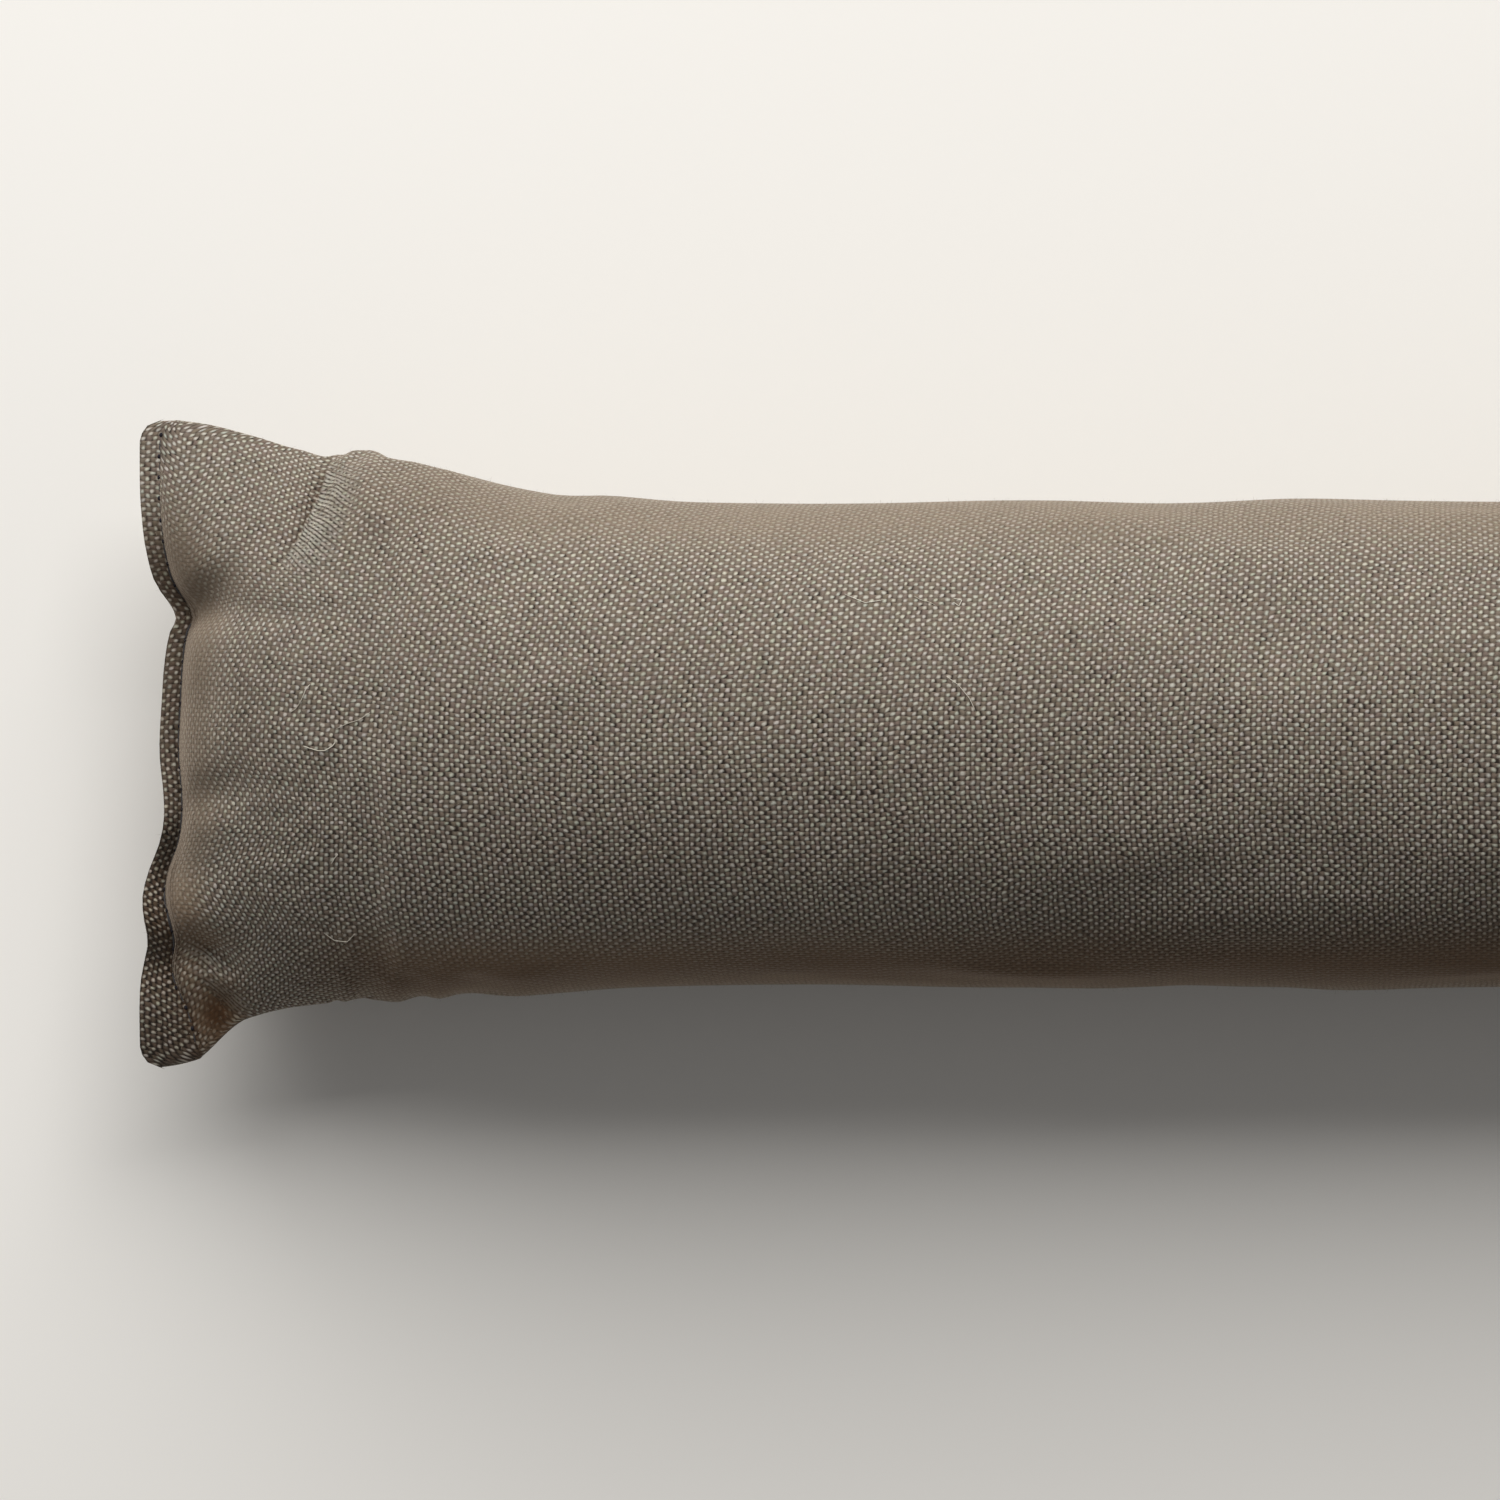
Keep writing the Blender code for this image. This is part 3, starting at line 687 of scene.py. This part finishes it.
def swell(cover, rings):
    w = swelling
    rows, count = rings.shape[:2]
    runs = rowRuns()
    run = np.minimum(runs, coverShape["length"] - runs)
    pins = cover.vertex_groups.new(name="stitched")
    weights = 1.0 - ease((run - w["pinnedRun"]) / (w["freeRun"] - w["pinnedRun"]))
    for row in np.nonzero(weights > 0)[0]:
        pins.add(list(range(row * count, (row + 1) * count)), float(weights[row]), "REPLACE")
    modifier = cover.modifiers.new("stuffing", "CLOTH")
    cloth = modifier.settings
    cloth.quality = 5
    cloth.mass = 0.3
    cloth.tension_stiffness = w["stretch"]
    cloth.compression_stiffness = w["stretch"]
    cloth.shear_stiffness = w["stretch"] / 3
    cloth.bending_stiffness = w["bending"]
    cloth.use_pressure = True
    cloth.uniform_pressure_force = w["pressure"]
    cloth.shrink_min = w["extraCloth"]
    cloth.vertex_group_mass = "stitched"
    cloth.effector_weights.gravity = 0.0
    modifier.collision_settings.use_collision = False
    modifier.point_cache.frame_start = 1
    modifier.point_cache.frame_end = w["frames"]
    scene = bpy.context.scene
    for number in range(1, w["frames"] + 1):
        scene.frame_set(number)
    evaluated = cover.evaluated_get(bpy.context.evaluated_depsgraph_get()).to_mesh()
    moved = np.zeros(rows * count * 3)
    evaluated.vertices.foreach_get("co", moved)
    cover.modifiers.remove(modifier)
    cover.vertex_groups.remove(pins)
    scene.frame_set(1)
    change = moved.reshape(rings.shape) - rings
    wrinkles = change - averaged(change, rings, w["smoothReach"])
    ring = np.roll(rings, -1, axis=1) - np.roll(rings, 1, axis=1)
    square = np.cross(ring, np.gradient(rings, axis=0))
    square /= np.maximum(np.linalg.norm(square, axis=2, keepdims=True), 1e-12)
    wrinkles = square * (wrinkles * square).sum(axis=2, keepdims=True)  # none within the cloth itself
    size = np.linalg.norm(wrinkles, axis=2, keepdims=True)
    print("stuffing: cloth moved", round(float(np.abs(change).max()) * 1000, 2), "mm, unevenness",
          round(float(np.percentile(size, 50)) * 1000, 2), "mm mostly,", round(float(size.max()) * 1000, 2), "mm at most")
    most = w["mostMove"]
    wrinkles = wrinkles * most * np.tanh(size / most) / np.maximum(size, 1e-9)
    settled = rings + wrinkles
    settled[..., 2] = np.where(rings[..., 2] <= 0.0, rings[..., 2], np.maximum(settled[..., 2], 0.0))
    return settled


def smoothOnce(cover):
    # one subdivision, applied
    modifier = cover.modifiers.new("smoothing", "SUBSURF")
    modifier.levels = modifier.render_levels = 1
    graph = bpy.context.evaluated_depsgraph_get()
    fine = bpy.data.meshes.new_from_object(cover.evaluated_get(graph), preserve_all_data_layers=True, depsgraph=graph)
    cover.modifiers.clear()
    coarse = cover.data
    cover.data = fine
    bpy.data.meshes.remove(coarse)
    fine.name = "coverCloth"


# the cloth: a plain weave of light yarns along the tube and brown ones across it
weave = {
    "pitchAlong": 0.00111,  # from one crosswise yarn to the next
    "pitchRound": 0.00095,  # from one lengthwise yarn to the next
    "crossWidth": 0.86,
    "longWidth": 0.98,
    "twist": 0.12,
    "lightYarn": (0.420, 0.415, 0.363, 1.0),
    "ground": (0.186, 0.149, 0.118, 1.0),
    # pit: the dark gaps between the yarns, with painted shade in them
    "pit": (0.026, 0.019, 0.015, 1.0),
    # nap: fuzz over the weave, its lighter colour partly a painted sheen of the fuzz
    "nap": (0.230, 0.181, 0.134, 1.0),
    "napLow": (0.110, 0.083, 0.059, 1.0),
    # painted warm bounce light from below
    "paintedBounceTint": (1.06, 0.88, 0.70, 1.0),
    # the colour that painted shade multiplies in
    "paintedShade": (0.24, 0.165, 0.112, 1.0),
    "bumpDepth": 0.00028,
}


def noise(start, place, scale, detail=2.0, kind="2D"):
    inputs = {"Vector": place, "Scale": scale, "Detail": detail, "Roughness": 0.6}
    return start.node("ShaderNodeTexNoise", {"noise_dimensions": kind}, inputs)


def chance(start, x, y=None):
    if y is None:
        return start.node("ShaderNodeTexWhiteNoise", {"noise_dimensions": "1D"}, {"W": x})
    place = start.node("ShaderNodeCombineXYZ", inputs={"X": x, "Y": y})
    return start.node("ShaderNodeTexWhiteNoise", {"noise_dimensions": "2D"}, {"Vector": place})


def scaled(start, place, amounts):
    return start.node("ShaderNodeVectorMath", {"operation": "MULTIPLY"}, {0: place, 1: amounts})


def coverShader():
    w = weave
    material, start = newShader("coarseWeave")
    place = start.node("ShaderNodeUVMap", {"uv_map": "cloth"})
    split = start.node("ShaderNodeSeparateXYZ", inputs={"Vector": place})
    # the mesh's map: nap, place beside a crease, painted shade, depth of crease
    napAndShade = start.node("ShaderNodeAttribute", {"attribute_name": "napAndShade"})
    nap = start.node("ShaderNodeSeparateColor", inputs={"Color": napAndShade})
    paintedShade, deep = nap.other("Blue"), napAndShade.other("Alpha")
    beside = (nap.other("Green") - 0.5) * (2000.0 * napAndShadeTable["creaseReach"])  # millimetres, body side positive

    # on a crease's body side the light floats are drawn out into slanting streaks
    firm = ((deep - 0.22) * 2.2).held()
    pulled = firm * ((beside - 0.1) / 0.7).held() * (1.0 - (beside - 2.5) / 7.0).held()
    # painted shade along a crease's line, and on the ear side of a deep crease
    creaseLineShade = (deep * 1.3).held() * (1.0 - beside.size() / (0.45 + 0.5 * (beside * -4.0).held())).held()
    shadow = ((deep - 0.45) * 2.2).held() * (1.0 + beside / 4.5).held() * (beside * -4.0).held()

    # yarn numbers and the place within each, let wander a little
    wander = noise(start, place, 55.0, 3.0)
    drift = noise(start, scaled(start, place, (1.0, -1.0, 1.0)), 47.0, 3.0)
    fine = noise(start, place, 520.0, 1.0)
    finer = noise(start, scaled(start, place, (-1.0, 1.0, 1.0)), 520.0, 1.0)
    calmA = split / w["pitchAlong"] + (wander - 0.5) * 1.7
    calmB = split.other("Y") / w["pitchRound"] + (drift - 0.5) * 1.7
    a, b = calmA + (fine - 0.5) * 0.55, calmB + (finer - 0.5) * 0.55
    column, row = a.floor(), b.floor()
    across, along = a - column - 0.5, b - row - 0.5
    sign = 1.0 - 2.0 * start.math("FLOORED_MODULO", column + row, 2.0)

    # each yarn's own thickness, and slubs along it
    slubCross = noise(start, scaled(start, place, (1.0 / w["pitchAlong"], 60.0, 0.0)), 1.0, 1.0)
    slubLong = noise(start, scaled(start, place, (60.0, 1.0 / w["pitchRound"], 0.0)), 1.0, 1.0)
    crossWidth = w["crossWidth"] + (slubCross - 0.5) * 0.4
    longWidth = w["longWidth"] + (slubLong - 0.5) * 0.4
    roundCross = (1.0 - (2.0 * across / crossWidth) ** 2.0).atLeast(0.0).root()
    roundLong = (1.0 - (2.0 * along / longWidth) ** 2.0).atLeast(0.0).root()
    liftLong = -(sign * (across * math.pi).cosine())
    heightCross = 0.45 * sign * (along * math.pi).cosine() + 0.75 * roundCross
    heightLong = 0.45 * liftLong + 0.75 * roundLong
    height = start.math("SMOOTH_MAX", heightCross, heightLong, 0.3)

    # a light float reads as a soft dot, slanted by the yarn's twist and set a little off its place
    each = chance(start, column + 0.11, row + 0.53)
    other = chance(start, column + 0.61, row + 0.29)
    slanted = across - along * w["twist"] + (each - 0.5) * 0.15
    raised = along + (other - 0.5) * 0.16
    dot = (1.0 - slanted * slanted * 3.3 - raised * raised * 2.9).held() ** 2.0 * (liftLong * 5.0).held()
    chain = start.math("FLOORED_MODULO", (calmA * 0.9 + calmB) * 0.76, 1.0) * 2.0 - 1.0
    drawn = noise(start, scaled(start, place, (330.0, 620.0, 0.0)), 1.0, 1.0)
    streak = pulled * (drawn * 4.0 - 1.0).held() * (1.0 - chain * chain * 1.5).held()
    hair = noise(start, scaled(start, place, (5200.0, 9000.0, 0.0)), 1.0, 2.0)
    patch = noise(start, place, 14.0, 3.0)
    shade = (hair - 0.5) * 0.6 + (patch - 0.5) * 0.3 + 0.82
    bright = (shade + each * 0.34) * (0.92 + chance(start, row) * 0.16)
    light = ((dot * (1.0 - pulled * 0.6)).atLeast(streak * 0.72) * bright * 1.15).held()

    # between the floats the gaps are dark and carry painted shade, most where the light yarn dives under, now left, now
    # right of it, and more so towards the front and beside a deep crease: painted shade where less light falls between
    # the yarns
    speckle = noise(start, scaled(start, place, (1100.0, 1500.0, 0.0)), 1.0, 1.0)
    sides = noise(start, place, 260.0, 1.0)
    dive = across - sign * (0.12 + (sides - 0.5) * 1.1)
    lower = (1.5 - split.other("Y") * 30.0).atLeast(0.85).atMost(2.5)
    steep = (0.8 + speckle * 1.9 + shadow * 2.0) * lower
    hump = 1.06 - dive * dive * steep - along * along * (0.1 + speckle * 0.7) * lower - pulled * chain * chain * 1.6
    colour = mixColours(start, (hump.held() * shade).held(), w["pit"], w["ground"])
    colour = mixColours(start, light, colour, w["lightYarn"])
    tint = mixColours(start, 0.07, (1.0, 1.0, 1.0, 1.0), each.other("Color"))
    tint = mixColours(start, 1.0, tint, (1.04, 1.04, 1.04, 1.0), "MULTIPLY")
    colour = mixColours(start, 1.0, colour, tint, "MULTIPLY")

    # nap hides the weave; painted shade darkens it, the light dots least
    fluff = noise(start, scaled(start, place, (900.0, 2400.0, 0.0)), 1.0, 3.0)
    napColour = mixColours(start, (fluff * 2.2 - 0.6).held(), w["napLow"], w["nap"])
    bounceShare = (split.other("Y") * -45.0 - 1.1).held()  # painted warm bounce light, browner low at the front
    napColour = mixColours(start, bounceShare, napColour, w["paintedBounceTint"], "MULTIPLY")
    napped = (nap * (0.95 + (patch - 0.5) * 1.3 + (fluff - 0.5) * 0.6)).held()
    colour = mixColours(start, napped, colour, napColour)
    darkened = mixColours(start, 1.0, colour, w["paintedShade"], "MULTIPLY")
    dark = (paintedShade * (0.8 + fluff * 0.4)).atLeast(creaseLineShade * 0.9).atLeast(shadow * 0.5)
    colour = mixColours(start, (dark * (1.0 - light * (1.0 - napped) * 0.45)).held(), colour, darkened)

    relief = (height + (hair - 0.5) * 0.3) * (1.0 - napped * 0.85) + fluff * napped * 0.3 - creaseLineShade
    bump = start.node("ShaderNodeBump", inputs={"Strength": 0.85, "Distance": w["bumpDepth"], "Height": relief})
    return finishShader(material, {
        "Base Color": colour,
        "Roughness": 0.92,
        "Normal": bump,
        "Specular IOR Level": 0.15,
        "Sheen Weight": 0.5,
        "Sheen Roughness": 0.4,
        "Sheen Tint": (0.92, 0.77, 0.62, 1.0),
    })


def evaluatedTree(piece):
    bpy.context.view_layer.update()
    graph = bpy.context.evaluated_depsgraph_get()
    return BVHTree.FromObject(piece, graph)


def joinedTubes(name, lines, sides):
    # many thin tubes in one mesh; each line is its points and its radius at each point
    points, faces = [], []
    turns = [2 * math.pi * k / sides for k in range(sides)]
    for line, radii in lines:
        line = [Vector(p) for p in line]
        first = len(points)
        side = None
        for i, here in enumerate(line):
            way = (line[min(i + 1, len(line) - 1)] - line[max(i - 1, 0)]).normalized()
            guess = side or (Vector((0, 0, 1)) if abs(way.z) < 0.9 else Vector((1, 0, 0)))
            side = (guess - way * guess.dot(way)).normalized()
            other = way.cross(side)
            points += [here + (side * math.cos(t) + other * math.sin(t)) * radii[i] for t in turns]
        for i in range(len(line) - 1):
            for k in range(sides):
                a, b = first + i * sides + k, first + i * sides + (k + 1) % sides
                faces.append((a, b, b + sides, a + sides))
        last = first + (len(line) - 1) * sides
        faces.append([first + k for k in reversed(range(sides))])
        faces.append([last + k for k in range(sides)])
    mesh = bpy.data.meshes.new(name)
    mesh.from_pydata([tuple(p) for p in points], [], faces)
    mesh.shade_smooth()
    piece = bpy.data.objects.new(name, mesh)
    bpy.context.scene.collection.objects.link(piece)
    return piece


# the thread that holds each lip, one stitch from hole to hole
sewing = {
    "run": 0.0039,
    "endShare": 0.965,
    "pitch": 0.0045,
    "radius": 0.00027,
    "rise": 0.00006,
    "sink": 0.00045,
    "earSink": 0.00028,
    "holeLength": 0.0009,
    "holeRadius": 0.00036,
    "colour": (0.042, 0.040, 0.043, 1.0),
    # the needle holes are real; their near-black is painted shade inside them
    "holeShadeColour": (0.010, 0.010, 0.016, 1.0),
}


def seamLine(face, rightSide, shift):
    s = sewing
    share = np.linspace(s["endShare"], -s["endShare"], 500)[None, :]
    run = np.full_like(share, coverShape["length"] - s["run"] if rightSide else s["run"])
    ahead = np.full_like(share, run[0, 0] + 0.0003)
    grid = coverSurface(face, np.concatenate([run, ahead]), np.concatenate([share, share]))
    return grid[0] - shift, squareTo(grid, face)[0]


def sewLips(shift):
    s = sewing
    stitches, holes = [], []
    random = np.random.default_rng(7)
    for rightSide in (False, True):
        for face in (1, -1):
            line, up = seamLine(face, rightSide, shift)
            length = np.concatenate([[0.0], np.cumsum(np.linalg.norm(np.diff(line, axis=0), axis=1))])
            stops = np.arange(0.0012, length[-1], s["pitch"])
            stops = stops + random.normal(0.0, 0.00025, len(stops))
            onEar = ease((np.abs(stops / length[-1] - 0.5) - 0.3) / 0.08)
            for start, end, low in zip(stops, stops[1:], onEar):
                shares = np.linspace(0.0, 1.0, 7)
                at = start + (end - start) * shares
                spots = np.stack([np.interp(at, length, line[:, k]) for k in range(3)], axis=1)
                ups = np.stack([np.interp(at, length, up[:, k]) for k in range(3)], axis=1)
                height = s["rise"] - s["earSink"] * low - s["sink"] * np.abs(2 * shares - 1) ** 6
                radii = s["radius"] * (1.0 - 0.35 * np.abs(2 * shares - 1) ** 2)
                stitches.append(((spots + ups * height[:, None]).tolist(), radii.tolist()))
                way = (spots[1] - spots[0]) / np.linalg.norm(spots[1] - spots[0])
                hole = [spots[0] + way * s["holeLength"] * k + ups[0] * 0.00002 for k in (-0.5, -0.2, 0.2, 0.5)]
                holes.append(([p.tolist() for p in hole], [s["holeRadius"] * k for k in (0.4, 1.0, 1.0, 0.4)]))
    thread = joinedTubes("lipStitches", stitches, 7)
    pits = joinedTubes("stitchHoles", holes, 7)
    return thread, pits


def threadShader():
    material, start = newShader("sewingThread")
    place = start.node("ShaderNodeTexCoord", output="Object")
    strands = start.node("ShaderNodeTexWave", {"bands_direction": "DIAGONAL"}, {
        "Vector": place, "Scale": 1400.0, "Distortion": 1.5})
    colour = mixColours(start, strands.other("Fac") * 0.6 + 0.2, (0.018, 0.018, 0.021, 1.0), sewing["colour"])
    bump = start.node("ShaderNodeBump", inputs={"Strength": 0.5, "Distance": 0.00008, "Height": strands.other("Fac")})
    return finishShader(material, {"Base Color": colour, "Roughness": 0.7, "Normal": bump,
                                   "Specular IOR Level": 0.3, "Sheen Weight": 0.15})


# the needle holes' darkness: painted shade
def holeShader():
    material, start = newShader("stitchHole")
    place = start.node("ShaderNodeTexCoord", output="Object")
    grain = noise(start, place, 2500.0, 2.0, "3D")
    colour = mixColours(start, grain, sewing["holeShadeColour"], (0.03, 0.027, 0.03, 1.0))
    return finishShader(material, {"Base Color": colour, "Roughness": 1.0, "Specular IOR Level": 0.05})


# short fibres that stand off the cloth, as thin bent strips
fuzz = {
    "count": 30000,
    "shortest": 0.0005,
    "longest": 0.0017,
    "width": 0.000035,
    "colour": (0.36, 0.30, 0.235, 1.0),
}


def growFuzz(cover):
    f = fuzz
    random = np.random.default_rng(21)
    graph = bpy.context.evaluated_depsgraph_get()
    mesh = cover.evaluated_get(graph).to_mesh()
    mesh.calc_loop_triangles()
    triangles = np.zeros(len(mesh.loop_triangles) * 3, np.int32)
    mesh.loop_triangles.foreach_get("vertices", triangles)
    spots = np.zeros(len(mesh.vertices) * 3)
    mesh.vertices.foreach_get("co", spots)
    corners = spots.reshape(-1, 3)[triangles.reshape(-1, 3)]
    square = np.cross(corners[:, 1] - corners[:, 0], corners[:, 2] - corners[:, 0])
    area = np.linalg.norm(square, axis=1)
    lifted = corners[..., 2].min(axis=1) > 0.002  # none where the tube rests
    odds = area * lifted
    pick = random.choice(len(area), f["count"], p=odds / odds.sum())
    share = random.random((f["count"], 2))
    share = np.where(share.sum(axis=1, keepdims=True) > 1, 1 - share, share)
    root = corners[pick, 0] + (corners[pick, 1] - corners[pick, 0]) * share[:, :1]
    root = root + (corners[pick, 2] - corners[pick, 0]) * share[:, 1:]
    up = square[pick] / area[pick][:, None]
    lean = random.normal(size=(f["count"], 3))
    lean -= up * (lean * up).sum(axis=1, keepdims=True)
    lean /= np.linalg.norm(lean, axis=1, keepdims=True)
    length = f["shortest"] + (f["longest"] - f["shortest"]) * random.random((f["count"], 1)) ** 2
    steep = 0.25 + 0.6 * random.random((f["count"], 1))
    bend = random.normal(0.0, 0.35, (f["count"], 1))
    side = np.cross(up, lean) * f["width"] / 2
    middle = root + length * 0.5 * (up * steep + lean * 0.5 + np.cross(up, lean) * bend * 0.3)
    tip = root + length * (up * steep * 0.8 + lean * 0.8 + np.cross(up, lean) * bend)
    root = root - up * 0.0002
    points = np.stack([root - side, root + side, middle + side * 0.8, middle - side * 0.8,
                       tip + side * 0.25, tip - side * 0.25], axis=1).reshape(-1, 3)
    firsts = np.arange(f["count"])[:, None] * 6
    faces = np.concatenate([firsts + [0, 1, 2, 3], firsts + [3, 2, 4, 5]]).tolist()
    made = bpy.data.meshes.new("looseFuzz")
    made.from_pydata(points.tolist(), [], faces)
    made.shade_smooth()
    piece = bpy.data.objects.new("looseFuzz", made)
    bpy.context.scene.collection.objects.link(piece)
    return piece


def fuzzShader():
    material, start = newShader("fuzzFibre")
    place = start.node("ShaderNodeTexCoord", output="Object")
    grain = noise(start, place, 900.0, 1.0, "3D")
    colour = mixColours(start, grain, (0.16, 0.13, 0.1, 1.0), fuzz["colour"])
    return finishShader(material, {"Base Color": colour, "Roughness": 0.8, "Specular IOR Level": 0.2,
                                   "Sheen Weight": 0.3, "Sheen Tint": (1.0, 0.9, 0.78, 1.0)})


# pale hairs that lie on the cloth; places are run from the left lip's edge and across, in millimetres,
# as seen from the camera on a plane at half the tube's height
looseHairs = {
    "hairs": [
        ([(34.1, -0.4), (35.5, -0.9), (37.2, -1.4), (38.6, -1.4), (40.2, -0.4), (40.7, 0.3)], 0.13, 1.0),
        ([(31.3, 6.4), (32.6, 7.3), (33.5, 8.6), (34.1, 9.9), (34.6, 11.2), (35.5, 12.3)], 0.13, 0.62),
        ([(40.9, 3.1), (43.4, 4.3), (45.7, 5.0), (48.0, 6.6)], 0.10, 0.55),
        ([(38.4, -39.0), (40.6, -40.6), (43.2, -40.9), (44.8, -39.2)], 0.10, 0.8),
        ([(39.9, -24.8), (40.6, -23.6), (41.3, -22.8)], 0.11, 0.9),
        ([(29.7, -22.3), (30.2, -22.4)], 0.13, 0.8),
        ([(160.3, 30.6), (161.7, 29.8), (163.5, 29.3), (164.9, 28.6)], 0.09, 0.6),
        ([(168.5, 29.3), (169.6, 28.5), (170.2, 29.7), (168.5, 30.1)], 0.10, 0.75),
        ([(265.3, 35.5), (265.6, 35.4)], 0.14, 1.0),
        ([(146.0, 31.0), (150.2, 29.2), (154.1, 29.8)], 0.08, 0.45),
        ([(167.0, 14.0), (169.5, 12.2), (171.8, 9.4), (173.0, 6.8)], 0.08, 0.4),
    ],
    "scattered": 46,
    "height": 0.00022,
    "colour": (0.80, 0.77, 0.68, 1.0),
}


def layHairs(tree, camera, shift):
    h = looseHairs
    eye = camera.location
    random = np.random.default_rng(5)
    hairs = list(h["hairs"])
    for _ in range(h["scattered"]):
        spot = np.array([random.uniform(300.0, 880.0), random.uniform(-40.0, 40.0)])
        turn = random.uniform(0.0, 2 * math.pi)
        bend = random.normal(0.0, 0.5)
        line = [spot]
        for _ in range(random.integers(3, 7)):
            turn += bend
            line.append(line[-1] + np.array([math.cos(turn), math.sin(turn)]) * random.uniform(0.6, 1.3))
        hairs.append((line, random.uniform(0.06, 0.1), 1.0))
    lines = []
    for line, radius, _ in hairs:
        fine = []
        for first, second in zip(line, line[1:]):
            fine += [np.array(first) * (1 - t) + np.array(second) * t for t in (0.0, 0.34, 0.67)]
        fine.append(np.array(line[-1]))
        spots = []
        for x, y in fine:
            aim = Vector((x / 1000 - coverShape["length"] / 2 - shift[0], y / 1000 - shift[1], studio["measureHeight"]))
            hit = tree.ray_cast(eye, (aim - eye).normalized())[0]
            spots.append(hit + Vector((0, 0, h["height"])))
        ends = [min(1.0, 0.45 + 0.5 * min(i, len(spots) - 1 - i)) for i in range(len(spots))]
        lines.append((spots, [radius / 1400 * k for k in ends]))
    return joinedTubes("looseHairs", lines, 6)


def hairShader():
    material, start = newShader("paleHair")
    place = start.node("ShaderNodeTexCoord", output="Object")
    grain = noise(start, place, 90.0, 1.0, "3D")
    colour = mixColours(start, (grain * 2.4 - 0.75).held(), (0.3, 0.26, 0.2, 1.0), looseHairs["colour"])
    return finishShader(material, {"Base Color": colour, "Roughness": 0.55, "Specular IOR Level": 0.4})


# studio: pale floor, one broad soft light from the back, a soft fill
studio = {
    "millimetresPerPixel": 0.2066,
    "leftLipPixel": 138.0,
    "axisPixel": 744.0,
    "imageSize": 1500.0,
    "measureHeight": 0.044,
    "cameraHeight": 2.2,
    "sensor": 36.0,
    "floorColour": (0.82, 0.805, 0.78, 1.0),
    "keyTilt": 55.0,
    "keyTurn": -6.0,
    "keyDistance": 2.0,
    "keySize": 2.2,
    "keyPower": 76.0,
    "ambient": 0.21,
}


def layFloor():
    size = 6.0
    mesh = bpy.data.meshes.new("floor")
    mesh.from_pydata([(-size, -size, 0), (size, -size, 0), (size, size, 0), (-size, size, 0)], [], [(0, 1, 2, 3)])
    floor = bpy.data.objects.new("floor", mesh)
    bpy.context.scene.collection.objects.link(floor)
    material, start = newShader("paleFloor")
    place = start.node("ShaderNodeTexCoord", output="Object")
    grain = noise(start, place, 30.0, 3.0, "3D")
    colour = mixColours(start, grain * 0.06, studio["floorColour"], (0.78, 0.775, 0.76, 1.0))
    mesh.materials.append(finishShader(material, {"Base Color": colour, "Roughness": 0.75,
                                                  "Specular IOR Level": 0.2}))


def lightStudio():
    t = studio
    centre = Vector((-0.3236, 0.0, 0.05))
    tilt, turn = math.radians(t["keyTilt"]), math.radians(t["keyTurn"])
    way = Vector((math.sin(turn) * math.sin(tilt), math.cos(turn) * math.sin(tilt), math.cos(tilt)))
    data = bpy.data.lights.new("keyLight", "AREA")
    data.energy = t["keyPower"]
    data.size = t["keySize"]
    data.color = (1.0, 0.985, 0.955)
    light = bpy.data.objects.new("keyLight", data)
    light.location = centre + way * t["keyDistance"]
    light.rotation_euler = (-way).to_track_quat("-Z", "Y").to_euler()
    bpy.context.scene.collection.objects.link(light)
    world = bpy.data.worlds.new("studioWorld")
    bpy.context.scene.world = world
    world.use_nodes = True
    world.node_tree.nodes["Background"].inputs["Color"].default_value = (1.0, 0.99, 0.975, 1.0)
    world.node_tree.nodes["Background"].inputs["Strength"].default_value = t["ambient"]
    bpy.context.scene.view_settings.view_transform = "Standard"
    bpy.context.scene.view_settings.look = "None"


def placeCamera(shift):
    # straight down on the sewn face, framed as the photograph is
    t = studio
    scale = t["millimetresPerPixel"] / 1000
    data = bpy.data.cameras.new("camera")
    data.sensor_width = t["sensor"]
    data.lens = t["sensor"] * (t["cameraHeight"] - t["measureHeight"]) / (t["imageSize"] * scale)
    data.clip_start, data.clip_end = 0.1, 20.0
    camera = bpy.data.objects.new("camera", data)
    middle = t["imageSize"] / 2
    camera.location = (
        -coverShape["length"] / 2 - shift[0] + (middle - t["leftLipPixel"]) * scale,
        -(middle - t["axisPixel"]) * scale - shift[1],
        t["cameraHeight"],
    )
    camera.rotation_euler = (0.0, 0.0, 0.0)
    bpy.context.scene.collection.objects.link(camera)
    bpy.context.scene.camera = camera
    return camera


def dress(piece, material):
    piece.data.materials.append(material)
    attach(piece, "root")


rings, shares, shift = coverRings()
cover = buildCover(rings, shares, shift)
print("cover grid:", rings.shape[0], "rows of", rings.shape[1])
settled = swell(cover, rings)
cover.data.vertices.foreach_set("co", settled.astype(np.float32).ravel())
cover.data.update()
smoothOnce(cover)
dress(cover, coverShader())
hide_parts("stuffed_cover")
print("cover dressed")

stitches, stitchHoles = sewLips(shift)
dress(stitches, threadShader())
dress(stitchHoles, holeShader())
print("lips sewn")

layFloor()
lightStudio()
camera = placeCamera(shift)
fuzzPiece = growFuzz(cover)
dress(fuzzPiece, fuzzShader())
hairPiece = layHairs(evaluatedTree(cover), camera, shift)
dress(hairPiece, hairShader())
print("fibres laid")
